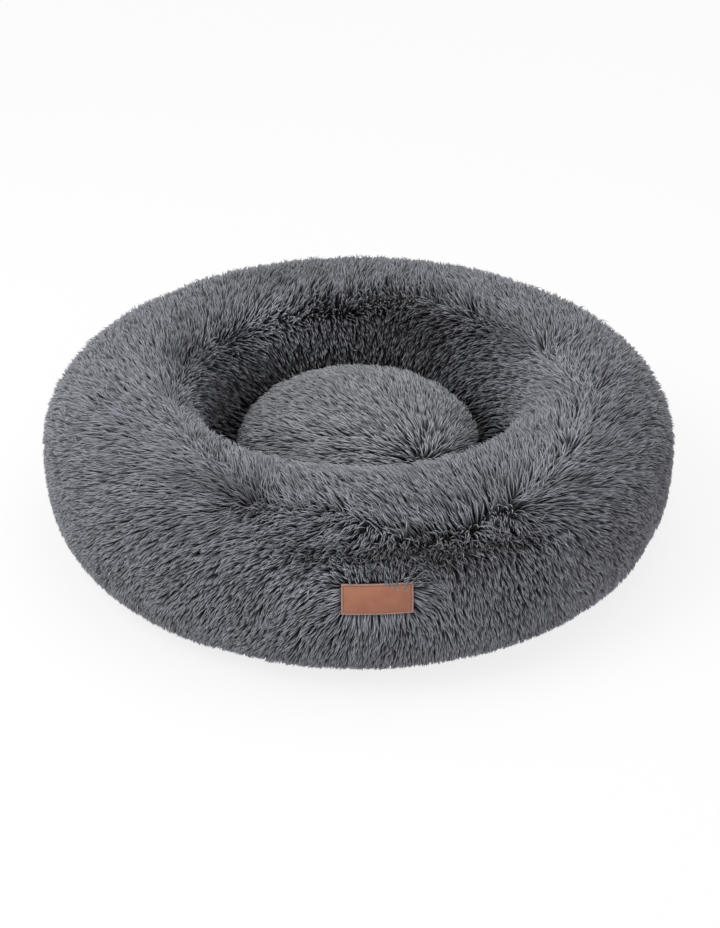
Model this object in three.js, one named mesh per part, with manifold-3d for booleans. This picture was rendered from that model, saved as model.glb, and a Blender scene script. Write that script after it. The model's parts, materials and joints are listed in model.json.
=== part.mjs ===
import * as THREE from 'three';
import { mergeVertices } from 'three/addons/utils/BufferGeometryUtils.js';
import Module from 'manifold-3d';

// Round donut bed for a pet: a stuffed plush ring round a deep well, with a loose plump cushion in the well.
// Millimetres, +Z up. The origin is on the floor under the middle of the bed, and the label faces -Y.

const wasm = await Module();
wasm.setup();

// Clearances between neighbouring pieces
const seamGap = 0.3;
const cutOverrun = 5;

// Rim, measured at the tips of the pile
const bedDiameter = 700;
const bedHeight = 190;
const rimWidestHeight = 105;
const crestRadius = 238;
const throatRadius = 171;
const wellFootRadius = 152;
const rimFootRadius = 277;
const rimFootHeight = 1.5;
const pileDepth = 20;

// How square each quarter of the rim's section is: 2 is an ellipse, more is squarer
const outerCrownPower = 2.36;
const innerCrownPower = 2.14;
const skirtPower = 2.66;

// The crest seam wanders round the ring: far out over the crest at the front right, and down the inside at
// the back left
const seamMiddleAngle = 106;
const seamSwingAngle = 41.7;
const seamOutermostBearing = -61;
const seamSecondSwingAngle = 10.3;
const seamSecondBearing = 14;

// The seam lies in a shallow groove, and the plush is gathered into a dimple at each pucker
const grooveDepth = 6;
const grooveWidthAngle = 15;
const puckerDepth = 12;
const puckerWidthAngle = 20;
const puckerBearingWidth = 7;
const puckerBearings = [-112.5, -66, -22.5, 18, 52.5, 94, 135, 192];

// Upright seams between the panels, each drawn in a little
const uprightSeamDepth = 3;
const uprightSeamWidth = 4;
const panels = [
  { side: 'front', from: -112.5, to: -22.5 },
  { side: 'right', from: -22.5, to: 52.5 },
  { side: 'back', from: 52.5, to: 135 },
  { side: 'left', from: 135, to: 247.5 },
];

// Filling and its bag
const linerThickness = 1.2;
const fillingFoldRadius = 262;
const slitLength = 140;
const slitWidth = 3;
const slitRadius = 225;

// Base cloth: a flat ring on the floor, dished up in the middle to clear the zip
const baseThickness = 2;
const dishInnerRadius = 165;
const dishOuterRadius = 185;
const dishHeight = 8;
const bindingWidth = 6;
const bindingHeight = 5.6;

// Well floor, which clears the zip's slider, and cushion
const floorAboveSlider = 0.95;
const wellFloorThickness = 1.5;
const cushionRadius = 137;
const cushionSeamHeight = 92;
const cushionCrownHeight = 162;
const cushionFlatRadius = 96;
const cushionPileDepth = 18;
const cushionClothThickness = 2;
const cushionSeamDepth = 3;
const cushionSeamWidthAngle = 9;
const cushionGathers = 15;
const cushionGatherDepth = 1.5;
const cushionLowerPower = 2.2;

// Leather patch, sunk a little into the pile
const labelWidth = 73;
const labelHeight = 36;
const labelThickness = 1.5;
const labelMiddleHeight = 117;
const labelBearing = -86.9;
const labelSink = 5;
const labelMargin = 1.5;

// Zip across the base
const zipSlotLength = 292;
const zipSlotWidth = 18;
const tapeLength = 297;
const tapeWidth = 12.4;
const tapeThickness = 0.8;
const tapeFromMiddle = 3.6;
const toothPitch = 6;
const toothWidth = 3;
const toothLength = 3.3;
const toothThickness = 2.4;
const toothFromMiddle = 0.9;
const toothCordWidth = 0.8;
const toothRowLength = 270;
const stopFromTeeth = 1;
const stopLength = 3;
const stopPlateThickness = 1;
const stopReach = 3;
const topStopWeb = 2.4;

// Zip slider and its pull
const sliderLength = 14;
const sliderNoseLength = 4;
const sliderShoulderFlare = 1;
const sliderPlateThickness = 1;
const sliderNeckWidth = 1;
const sliderNeckLength = 3;
const sliderFlangeThickness = 1;
const sliderRunningGap = 0.35;
const bridgeLength = 8;
const bridgeWidth = 2.4;
const bridgeThickness = 1;
const bridgeOpening = 1.9;
const pullBarThickness = 1.1;
const pullEyeLength = 7.5;
const pullEyeWidth = 4;
const pullArmWidth = 1.2;
const pullLength = 26;
const pullTabWidth = 7;
const pullTipFacets = 8;
const pullTipClearance = 0.4;
const pullFromBridgeEnd = 1.95;

// Facets round the ring
const bearingStep = 7.5;
const skirtFacets = 3;
const outerCrownFacets = 6;
const innerCrownFacets = 4;
const legFacets = 3;
const seamCrowding = 1.35;
const bindingFacets = 8;
const cushionBearingStep = 12;
const domeFacets = 8;
const bowlFacets = 5;

const bedRadius = bedDiameter / 2;
const baseTopHeight = dishHeight + baseThickness;
const zipHeight = baseTopHeight + seamGap + tapeThickness / 2;
const plateInside = toothThickness / 2 + sliderRunningGap;
const plateOutside = plateInside + sliderPlateThickness;
const wellFloorHeight = zipHeight + plateOutside + floorAboveSlider;

const right = Math.PI / 2;
const alongX = new THREE.Vector3(1, 0, 0);
const alongY = new THREE.Vector3(0, 1, 0);
const alongZ = new THREE.Vector3(0, 0, 1);
const radians = THREE.MathUtils.degToRad;
const degrees = THREE.MathUtils.radToDeg;

// Materials by what the piece is made of
const colours = {
  plush: ['#6a6c74', 0.95, 0],
  wellPlush: ['#55575f', 0.95, 0],
  cushionPlush: ['#777982', 0.95, 0],
  wovenCloth: ['#4a4c52', 0.9, 0],
  baseCloth: ['#26272b', 0.8, 0],
  binding: ['#1f2024', 0.85, 0],
  linerCloth: ['#d9d8d2', 0.9, 0],
  fibre: ['#efeeea', 1, 0],
  leather: ['#a8663f', 0.55, 0],
  zipNylon: ['#1b1b1e', 0.6, 0],
  zipMetal: ['#8d8f93', 0.35, 0.9],
};

function materialOf(kind) {
  const [color, roughness, metalness] = colours[kind];
  return new THREE.MeshStandardMaterial({ color, roughness, metalness });
}

const bed = new THREE.Group();

function addPiece(name, kind, geometry, parent = bed) {
  const mesh = new THREE.Mesh(geometry, materialOf(kind));
  mesh.name = name;
  parent.add(mesh);
  return mesh;
}

// Shares the vertices of touching faces, and drops the faces that shrink to nothing on the axis
function closedSkin(geometry) {
  const bare = new THREE.BufferGeometry();
  bare.setAttribute('position', geometry.getAttribute('position'));
  bare.setIndex(geometry.getIndex());
  const merged = mergeVertices(bare);
  const corners = Array.from(merged.getIndex().array);
  const faces = [];
  for (let i = 0; i < corners.length; i += 3) {
    const face = corners.slice(i, i + 3);
    if (new Set(face).size === 3) faces.push(...face);
  }
  merged.setIndex(faces);
  merged.computeVertexNormals();
  return merged;
}

// A solid for joins and cuts, and its geometry afterwards
function solidOf(geometry) {
  const skin = closedSkin(geometry);
  const mesh = new wasm.Mesh({
    numProp: 3,
    vertProperties: new Float32Array(skin.getAttribute('position').array),
    triVerts: new Uint32Array(skin.getIndex().array),
  });
  return new wasm.Manifold(mesh);
}

function geometryOf(solid) {
  const mesh = solid.getMesh();
  const geometry = new THREE.BufferGeometry();
  geometry.setAttribute('position', new THREE.BufferAttribute(new Float32Array(mesh.vertProperties), 3));
  geometry.setIndex(new THREE.BufferAttribute(new Uint32Array(mesh.triVerts), 1));
  geometry.computeVertexNormals();
  return geometry;
}

// A box between two opposite corners, given in either order
function box(corner, opposite) {
  const size = corner.map((value, axis) => Math.abs(opposite[axis] - value));
  const middle = corner.map((value, axis) => (value + opposite[axis]) / 2);
  return new THREE.BoxGeometry(...size).translate(...middle);
}

function extrude(outline, depth, holes = []) {
  const shape = new THREE.Shape(outline.map(([x, y]) => new THREE.Vector2(x, y)));
  shape.holes = holes.map((hole) => new THREE.Path(hole.map(([x, y]) => new THREE.Vector2(x, y))));
  return new THREE.ExtrudeGeometry(shape, { depth, bevelEnabled: false, steps: 1 });
}

// An outline of [y, z] points run along X
function extrudeAlongX(outline, from, to) {
  const turn = new THREE.Matrix4().makeBasis(alongY, alongZ, alongX);
  return extrude(outline, to - from).applyMatrix4(turn).translate(from, 0, 0);
}

// An outline of [x, z] points run along Y, its middle on the X axis
function extrudeAlongY(outline, width) {
  return extrude(outline, width).rotateX(right).translate(0, width / 2, 0);
}

// Turns a profile of [radius, height] points, which run up the outside, round the upright axis
function turned(profile) {
  const points = profile.map(([radius, height]) => new THREE.Vector2(radius, height));
  return closedSkin(new THREE.LatheGeometry(points, 360 / bearingStep).rotateX(right));
}

// Even steps from 0 to 1
function steps(facets) {
  return Array.from({ length: facets + 1 }, (_, i) => i / facets);
}

function bearingsBetween(from, to) {
  return steps(Math.round((to - from) / bearingStep)).map((step) => from + step * (to - from));
}

// Joins the closed outlines that sectionAt gives at each bearing into one skin. An outline is a list of
// [radius, height, order] points, anticlockwise with the radius to the right. A whole ring closes on itself.
// The order says which way a four-sided face is split, so that skins one inside the other split alike.
function ringLoft(bearings, sectionAt, wholeRing) {
  const sections = bearings.map((bearing) => sectionAt(bearing));
  const count = sections[0].length;
  const positions = sections.flatMap((section, i) =>
    section.flatMap(([radius, height]) => {
      const turn = radians(bearings[i]);
      return [radius * Math.cos(turn), radius * Math.sin(turn), height];
    })
  );
  const faces = [];
  const strips = wholeRing ? bearings.length : bearings.length - 1;
  for (let i = 0; i < strips; i++) {
    const here = i * count;
    const next = ((i + 1) % bearings.length) * count;
    for (let k = 0; k < count; k++) {
      const after = (k + 1) % count;
      const rises = sections[i][after][2] >= sections[i][k][2];
      faces.push(...splitFace([here + k, next + k, next + after, here + after], rises));
    }
  }
  if (!wholeRing) {
    faces.push(...capFaces(sections[0], 0, false));
    faces.push(...capFaces(sections.at(-1), (bearings.length - 1) * count, true));
  }
  const geometry = new THREE.BufferGeometry();
  geometry.setAttribute('position', new THREE.Float32BufferAttribute(positions, 3));
  geometry.setIndex(faces);
  return closedSkin(geometry);
}

function splitFace([a, b, c, d], rises) {
  return rises ? [a, b, c, a, c, d] : [a, b, d, b, c, d];
}

function capFaces(section, start, farEnd) {
  const contour = section.map(([radius, height]) => new THREE.Vector2(radius, height));
  const triangles = THREE.ShapeUtils.triangulateShape(contour, []);
  return triangles.flatMap(([a, b, c]) => (farEnd ? [a, c, b] : [a, b, c])).map((index) => index + start);
}

function wholeRingBearings() {
  return bearingsBetween(0, 360).slice(0, -1);
}

// A point of a quarter superellipse and the direction that it faces there
function quarterPoint(angle, width, height, power) {
  const cosine = Math.abs(Math.cos(radians(angle)));
  const sine = Math.abs(Math.sin(radians(angle)));
  const across = cosine ** (2 / power);
  const up = sine ** (2 / power);
  const facing = new THREE.Vector2(across ** (power - 1) / width, up ** (power - 1) / height).normalize();
  return { across: width * across, up: height * up, facing };
}

// The rim's section by its angle: -90 at the outer foot, 0 at its widest, 90 at the crest, 180 at the throat
// and 270 at the foot of the well. Each point has its radius, height and outward direction.
function rimPoint(angle) {
  if (angle < 0) {
    const width = bedRadius - rimFootRadius;
    const point = quarterPoint(angle, width, rimWidestHeight - rimFootHeight, skirtPower);
    const facing = [point.facing.x, -point.facing.y];
    return { radius: rimFootRadius + point.across, height: rimWidestHeight - point.up, facing };
  }
  if (angle <= 90) {
    const width = bedRadius - crestRadius;
    const point = quarterPoint(angle, width, bedHeight - rimWidestHeight, outerCrownPower);
    const facing = [point.facing.x, point.facing.y];
    return { radius: crestRadius + point.across, height: rimWidestHeight + point.up, facing };
  }
  if (angle <= 180) {
    const width = crestRadius - throatRadius;
    const point = quarterPoint(angle, width, bedHeight - rimWidestHeight, innerCrownPower);
    const facing = [-point.facing.x, point.facing.y];
    return { radius: crestRadius - point.across, height: rimWidestHeight + point.up, facing };
  }
  return legPoint((angle - 180) / 90);
}

// The inner wall below the throat runs down to the foot of the well in an easy S
function legPoint(share) {
  const drop = rimWidestHeight - wellLegHeight;
  const inwards = (throatRadius - wellFootRadius) / 2;
  const radius = wellFootRadius + inwards * (1 + Math.cos(Math.PI * share));
  const slope = new THREE.Vector2(-inwards * Math.PI * Math.sin(Math.PI * share), -drop).normalize();
  return { radius, height: rimWidestHeight - drop * share, facing: [slope.y, -slope.x] };
}

const wellLegHeight = baseTopHeight + seamGap;

function seamAngle(bearing) {
  const swing = seamSwingAngle * Math.cos(radians(bearing - seamOutermostBearing));
  const secondSwing = seamSecondSwingAngle * Math.cos(2 * radians(bearing - seamSecondBearing));
  return seamMiddleAngle - swing + secondSwing;
}

function bell(offset, width) {
  return Math.exp(-((offset / width) ** 2));
}

function turnBetween(bearing, other) {
  return THREE.MathUtils.euclideanModulo(bearing - other + 180, 360) - 180;
}

// How far the plush is drawn in at a place on the rim
function drawnIn(bearing, angle) {
  const fromSeam = angle - seamAngle(bearing);
  const groove = grooveDepth * bell(fromSeam, grooveWidthAngle);
  const puckers = puckerBearings.map((at) => bell(turnBetween(bearing, at), puckerBearingWidth));
  const pucker = puckerDepth * Math.max(...puckers) * bell(fromSeam, puckerWidthAngle);
  const uprights = panels.map((panel) => bell(turnBetween(bearing, panel.from), uprightSeamWidth));
  const onWall = Math.max(0, Math.cos(radians(angle)));
  return groove + pucker + uprightSeamDepth * Math.max(...uprights) * onWall;
}

// A point below the tips of the pile by depth
function layerPoint(bearing, angle, depth) {
  const point = rimPoint(angle);
  const inwards = depth + drawnIn(bearing, angle);
  const order = angle - depth / bedRadius;
  return [point.radius - point.facing[0] * inwards, point.height - point.facing[1] * inwards, order];
}

// Section angles of the two walls, closer together towards the seam
function outerAngles(bearing) {
  const end = seamAngle(bearing) - seamHalfAngle;
  const skirt = steps(skirtFacets).map((step) => -90 + 90 * step);
  const crown = steps(outerCrownFacets).map((step) => end * (1 - (1 - step) ** seamCrowding));
  return [...skirt, ...crown.slice(1)];
}

function innerAngles(bearing) {
  const start = seamAngle(bearing) + seamHalfAngle;
  const crown = steps(innerCrownFacets).map((step) => start + (180 - start) * step ** seamCrowding);
  const leg = steps(legFacets).map((step) => 180 + 90 * step);
  return [...crown, ...leg.slice(1)];
}

const seamHalfAngle = degrees(seamGap / 2 / (bedRadius - crestRadius - pileDepth));

function wallSection(bearing, angles) {
  const tips = angles.map((angle) => layerPoint(bearing, angle, 0));
  const backing = angles.map((angle) => layerPoint(bearing, angle, pileDepth)).reverse();
  return [...tips, ...backing];
}

// Panel ends stand off the upright seam by half the seam gap at the well's narrowest radius
function panelBearings(panel) {
  const endTurn = degrees(seamGap / 2 / wellFootRadius);
  const bearings = bearingsBetween(panel.from, panel.to);
  bearings[0] += endTurn;
  bearings[bearings.length - 1] -= endTurn;
  return bearings;
}

function outerWall(panel) {
  return ringLoft(panelBearings(panel), (bearing) => wallSection(bearing, outerAngles(bearing)), false);
}

function innerWall(panel) {
  return ringLoft(panelBearings(panel), (bearing) => wallSection(bearing, innerAngles(bearing)), false);
}

// Label and its seat

function sectionAngleAtHeight(height) {
  if (height >= rimWidestHeight) {
    const share = (height - rimWidestHeight) / (bedHeight - rimWidestHeight);
    return degrees(Math.asin(share ** (outerCrownPower / 2)));
  }
  const share = (rimWidestHeight - height) / (rimWidestHeight - rimFootHeight);
  return -degrees(Math.asin(share ** (skirtPower / 2)));
}

// A slab that follows the rim's surface over the label's place, between two depths
function labelSlab(outerDepth, innerDepth, margin) {
  const halfTurn = degrees((labelWidth / 2 + margin) / bedRadius);
  const rise = labelHeight / 2 + margin;
  const heightSteps = [-1, -1 / 3, 1 / 3, 1];
  const angles = heightSteps.map((step) => sectionAngleAtHeight(labelMiddleHeight + step * rise));
  const turns = heightSteps.map((step) => labelBearing + step * halfTurn);
  const section = (bearing) => {
    const face = angles.map((angle) => layerPoint(bearing, angle, outerDepth));
    const back = angles.map((angle) => layerPoint(bearing, angle, innerDepth)).reverse();
    return [...face, ...back];
  };
  return ringLoft(turns, section, false);
}

const labelBackDepth = labelSink + labelThickness;

function labelSeatCutter() {
  return labelSlab(-cutOverrun, labelBackDepth + seamGap, labelMargin);
}

function outerWallWithSeat(panel) {
  const wall = solidOf(outerWall(panel));
  return geometryOf(wall.subtract(solidOf(labelSeatCutter())));
}

// Filling and liner follow the backing of the plush, and close along the base
function fillingSection(bearing, depth) {
  const angles = [...outerAngles(bearing), ...innerAngles(bearing).slice(1)];
  const round = angles.map((angle) => layerPoint(bearing, angle, depth));
  const inset = depth - pileDepth;
  const floor = baseThickness + inset;
  return [...round, [dishOuterRadius + inset, floor], [fillingFoldRadius - inset, floor]];
}

function fillingRing(depth) {
  return ringLoft(wholeRingBearings(), (bearing) => fillingSection(bearing, depth), true);
}

const linerDepth = pileDepth + seamGap;
const fillingDepth = linerDepth + linerThickness + seamGap;

function rimLiner() {
  const bag = solidOf(fillingRing(linerDepth)).subtract(solidOf(fillingRing(linerDepth + linerThickness)));
  const slitDepth = linerThickness + seamGap;
  const slit = box(
    [-slitLength / 2, slitRadius - slitWidth / 2, baseThickness],
    [slitLength / 2, slitRadius + slitWidth / 2, baseThickness + seamGap + slitDepth]
  );
  return geometryOf(bag.subtract(solidOf(slit)));
}

// Base

const baseEdgeRadius = rimFootRadius - bindingWidth - 2 * seamGap;

function baseDisc() {
  return turned([
    [0, dishHeight],
    [dishInnerRadius, dishHeight],
    [dishOuterRadius, 0],
    [baseEdgeRadius, 0],
    [baseEdgeRadius, baseThickness],
    [dishOuterRadius, baseThickness],
    [dishInnerRadius, baseTopHeight],
    [0, baseTopHeight],
  ]);
}

function basePanel(side) {
  const reach = side * (bedRadius + cutOverrun);
  const half = box([-bedRadius, (side * seamGap) / 2, -cutOverrun], [bedRadius, reach, bedHeight]);
  const slot = box(
    [-zipSlotLength / 2, -zipSlotWidth / 2, -cutOverrun],
    [zipSlotLength / 2, zipSlotWidth / 2, baseTopHeight + cutOverrun]
  );
  return geometryOf(solidOf(baseDisc()).intersect(solidOf(half)).subtract(solidOf(slot)));
}

function baseBinding() {
  const middle = baseEdgeRadius + seamGap + bindingWidth / 2;
  const centreHeight = seamGap + bindingHeight / 2;
  const section = steps(bindingFacets).slice(1).map((step) => {
    const turn = 2 * Math.PI * (step - 1 / 2 / bindingFacets);
    const radius = middle + (bindingWidth / 2) * Math.cos(turn);
    return [radius, centreHeight + (bindingHeight / 2) * Math.sin(turn)];
  });
  return ringLoft(wholeRingBearings(), () => section, true);
}

function wellFloor() {
  const edge = wellFootRadius - seamGap;
  const top = wellFloorHeight + wellFloorThickness;
  return turned([
    [0, wellFloorHeight],
    [edge, wellFloorHeight],
    [edge, top],
    [0, top],
  ]);
}

// Cushion: a plump pillow, plush above its seam and woven cloth below, drawn in where the two are sewn

const cushionBottomHeight = wellFloorHeight + wellFloorThickness + seamGap;

function cushionSeamInwards(bearing, angle) {
  const gather = cushionGatherDepth * Math.cos(radians(bearing * cushionGathers));
  return (cushionSeamDepth + gather) * bell(angle, cushionSeamWidthAngle);
}

// The dome by its angle above the seam, 90 at the crown, below the tips of the pile by depth
function domePoint(bearing, angle, depth) {
  const foot = cushionSeamHeight + seamGap / 2;
  const point = quarterPoint(angle, cushionRadius, cushionCrownHeight - foot, 2);
  const inwards = depth + cushionSeamInwards(bearing, angle);
  const radius = Math.max(point.across - point.facing.x * inwards, 0);
  return [radius, foot + point.up - point.facing.y * inwards, angle];
}

// The underside by its angle below the seam, 90 where its flat middle starts
function bowlPoint(bearing, angle, depth) {
  const top = cushionSeamHeight - seamGap / 2;
  const width = cushionRadius - cushionFlatRadius;
  const point = quarterPoint(angle, width, top - cushionBottomHeight, cushionLowerPower);
  const inwards = depth + cushionSeamInwards(bearing, angle);
  const radius = cushionFlatRadius + point.across - point.facing.x * inwards;
  return [radius, top - point.up + point.facing.y * inwards, -angle];
}

function crowdedAngles(facets) {
  return steps(facets).map((step) => 90 * step ** seamCrowding);
}

const domeAngles = crowdedAngles(domeFacets);
const bowlAngles = crowdedAngles(bowlFacets);

function cushionTop() {
  const section = (bearing) => {
    const tips = domeAngles.map((angle) => domePoint(bearing, angle, 0));
    const backing = domeAngles.map((angle) => domePoint(bearing, angle, cushionPileDepth)).reverse();
    return [...tips, ...backing];
  };
  return ringLoft(cushionBearings(), section, true);
}

// The bowl from the middle of its flat underside up to the seam
function bowlLine(bearing, depth) {
  const rise = bowlAngles.map((angle) => bowlPoint(bearing, angle, depth)).reverse();
  return [[0, cushionBottomHeight + depth], ...rise];
}

function cushionBottom() {
  const section = (bearing) => {
    const outside = bowlLine(bearing, 0);
    const inside = bowlLine(bearing, cushionClothThickness).reverse();
    return [...outside, ...inside];
  };
  return ringLoft(cushionBearings(), section, true);
}

function cushionFilling() {
  const section = (bearing) => {
    const below = bowlLine(bearing, cushionClothThickness + seamGap);
    const dome = domeAngles.map((angle) => domePoint(bearing, angle, cushionPileDepth + seamGap));
    const [shoulderRadius, , order] = dome[0];
    const shoulder = [shoulderRadius, below.at(-1)[1], order];
    return [...below, shoulder, ...dome.slice(1)];
  };
  return ringLoft(cushionBearings(), section, true);
}

function cushionBearings() {
  return Array.from({ length: 360 / cushionBearingStep }, (_, i) => i * cushionBearingStep);
}

// Zip

// A tape with its row of teeth, which stand out from a cord moulded along the tape's edge
function zipTape(side) {
  const strip = box(
    [-tapeLength / 2, side * tapeFromMiddle, zipHeight - tapeThickness / 2],
    [tapeLength / 2, side * (tapeFromMiddle + tapeWidth), zipHeight + tapeThickness / 2]
  );
  const comb = extrude(toothComb(side), toothThickness).translate(0, 0, zipHeight - toothThickness / 2);
  return geometryOf(solidOf(strip).add(solidOf(comb)));
}

// The two rows are half a pitch apart, so that each tooth faces a gap
function toothComb(side) {
  const tip = side * toothFromMiddle;
  const root = side * (toothFromMiddle + toothLength - toothCordWidth);
  const back = side * (toothFromMiddle + toothLength);
  const count = Math.floor(toothRowLength / toothPitch) - 1;
  const start = -toothRowLength / 2 + (side > 0 ? toothPitch / 2 : 0);
  const teeth = Array.from({ length: count }, (_, i) => {
    const near = start + i * toothPitch + (toothPitch - toothWidth) / 2;
    const far = near + toothWidth;
    return [[near, root], [near, tip], [far, tip], [far, root]];
  });
  return [[-toothRowLength / 2, root], ...teeth.flat(), [toothRowLength / 2, root],
    [toothRowLength / 2, back], [-toothRowLength / 2, back]];
}

const stopStart = toothRowLength / 2 + stopFromTeeth;
const stopWebReach = tapeFromMiddle - seamGap;
const stopPlateReach = tapeFromMiddle + stopReach;
const stopPlateInside = tapeThickness / 2 + seamGap;
const stopPlateOutside = stopPlateInside + stopPlateThickness;

// One clamp over the edges of both tapes
function zipBottomStop() {
  const quarter = [
    [stopPlateReach, stopPlateOutside],
    [stopPlateReach, stopPlateInside],
    [stopWebReach, stopPlateInside],
  ];
  const mirrored = (across, up) => quarter.map(([y, z]) => [y * across, z * up]);
  const outline = [
    ...mirrored(1, 1),
    ...mirrored(1, -1).reverse(),
    ...mirrored(-1, -1),
    ...mirrored(-1, 1).reverse(),
  ];
  return extrudeAlongX(outline, -stopStart - stopLength, -stopStart).translate(0, 0, zipHeight);
}

// A clamp round the edge of one tape
function zipTopStop(side) {
  const inner = side * (stopWebReach - topStopWeb);
  const web = side * stopWebReach;
  const outer = side * stopPlateReach;
  const outline = [
    [inner, -stopPlateOutside],
    [outer, -stopPlateOutside],
    [outer, -stopPlateInside],
    [web, -stopPlateInside],
    [web, stopPlateInside],
    [outer, stopPlateInside],
    [outer, stopPlateOutside],
    [inner, stopPlateOutside],
  ];
  return extrudeAlongX(outline, stopStart, stopStart + stopLength).translate(0, 0, zipHeight);
}

// The slider's own middle is its origin, and its shoulders lead towards the top stops

const tapeSlot = tapeThickness / 2 + sliderRunningGap;
const chainReach = toothFromMiddle + toothLength;
const tailReach = chainReach + sliderRunningGap + sliderFlangeThickness;
const shoulderReach = tailReach + sliderShoulderFlare;

function sliderPlan() {
  const nose = sliderLength / 2;
  const shoulder = nose - sliderNoseLength;
  return [
    [-nose, -tailReach],
    [0, -tailReach],
    [shoulder, -shoulderReach],
    [nose, -tailReach],
    [nose, tailReach],
    [shoulder, shoulderReach],
    [0, tailReach],
    [-nose, tailReach],
  ];
}

// One half of the slider: its plate with a flange along each side, standing off the middle of the tapes
function sliderShell() {
  const block = extrude(sliderPlan(), plateOutside - tapeSlot).translate(0, 0, tapeSlot);
  const channel = box(
    [-sliderLength, -chainReach - sliderRunningGap, -cutOverrun],
    [sliderLength, chainReach + sliderRunningGap, plateInside]
  );
  return solidOf(block).subtract(solidOf(channel));
}

function sliderNeck() {
  const nose = sliderLength / 2;
  return box(
    [nose - sliderNeckLength, -sliderNeckWidth / 2, -plateInside - sliderPlateThickness / 2],
    [nose, sliderNeckWidth / 2, plateInside + sliderPlateThickness / 2]
  );
}

const bridgeTop = -plateOutside;
const bridgeInside = bridgeTop - bridgeOpening;

function sliderBridge() {
  const outer = bridgeLength / 2;
  const inner = outer - bridgeThickness;
  const sunk = bridgeTop + sliderPlateThickness / 2;
  const outline = [
    [-outer, bridgeInside - bridgeThickness],
    [outer, bridgeInside - bridgeThickness],
    [outer, sunk],
    [inner, sunk],
    [inner, bridgeInside],
    [-inner, bridgeInside],
    [-inner, sunk],
    [-outer, sunk],
  ];
  return extrudeAlongY(outline, bridgeWidth);
}

function zipSlider() {
  const upper = sliderShell();
  const lower = upper.rotate([180, 0, 0]);
  const neck = solidOf(sliderNeck());
  return geometryOf(upper.add(lower).add(neck).add(solidOf(sliderBridge())));
}

// The pull is a tab with an eye, lying away from the shoulders. Its eye's bar is its origin and its pivot.
function pullOutline() {
  const reach = pullTabWidth / 2;
  const eyeReach = pullEyeWidth / 2 + pullArmWidth;
  const eyeEnd = pullEyeLength + pullBarThickness;
  const roundFrom = pullLength - reach;
  const tip = steps(pullTipFacets).map((step) => {
    const turn = Math.PI * (step - 1 / 2);
    return [-roundFrom - reach * Math.cos(turn), -reach * Math.sin(turn)];
  });
  const start = pullBarThickness / 2;
  return [[start, eyeReach], [-eyeEnd, eyeReach], ...tip, [-eyeEnd, -eyeReach], [start, -eyeReach]];
}

function zipPull() {
  const near = -pullBarThickness / 2;
  const far = near - pullEyeLength;
  const reach = pullEyeWidth / 2;
  const eye = [
    [near, reach],
    [near, -reach],
    [far, -reach],
    [far, reach],
  ];
  return closedSkin(extrude(pullOutline(), pullBarThickness, [eye]).translate(0, 0, -pullBarThickness / 2));
}

// Assembly

for (const panel of panels) {
  const wall = panel.side === 'front' ? outerWallWithSeat(panel) : outerWall(panel);
  addPiece(`outer_wall_${panel.side}`, 'plush', wall);
  addPiece(`inner_wall_${panel.side}`, 'wellPlush', innerWall(panel));
}
addPiece('rim_liner', 'linerCloth', rimLiner());
addPiece('rim_filling', 'fibre', fillingRing(fillingDepth));
addPiece('label', 'leather', labelSlab(labelSink, labelBackDepth, 0));
addPiece('base_panel_front', 'baseCloth', basePanel(-1));
addPiece('base_panel_back', 'baseCloth', basePanel(1));
addPiece('base_binding', 'binding', baseBinding());
addPiece('well_floor', 'wovenCloth', wellFloor());

const cushion = new THREE.Group();
bed.add(cushion);
addPiece('cushion_top', 'cushionPlush', cushionTop(), cushion);
addPiece('cushion_bottom', 'wovenCloth', cushionBottom(), cushion);
addPiece('cushion_filling', 'fibre', cushionFilling(), cushion);

addPiece('zip_tape_front', 'zipNylon', zipTape(-1));
addPiece('zip_tape_back', 'zipNylon', zipTape(1));
addPiece('zip_bottom_stop', 'zipMetal', zipBottomStop());
addPiece('zip_top_stop_front', 'zipMetal', zipTopStop(-1));
addPiece('zip_top_stop_back', 'zipMetal', zipTopStop(1));

// The slider stands closed, against the top stops
const slider = new THREE.Group();
slider.position.set((toothRowLength - sliderLength) / 2, 0, zipHeight);
bed.add(slider);
addPiece('zip_slider', 'zipMetal', zipSlider(), slider);

// The pull hangs from the bridge until its tip all but touches the floor
const pivot = new THREE.Vector3(pullFromBridgeEnd - bridgeLength / 2, 0, bridgeTop - bridgeOpening / 2);
const pullDrop = zipHeight + pivot.z - pullBarThickness / 2 - pullTipClearance;
const pull = addPiece('zip_pull', 'zipMetal', zipPull(), slider);
pull.position.copy(pivot);
pull.rotation.y = -Math.asin(pullDrop / pullLength);

export default bed;
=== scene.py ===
"""Looks of the donut pet bed: plush ring and cushion with their pile, leather patch, base and zip."""

import json
import math

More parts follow.
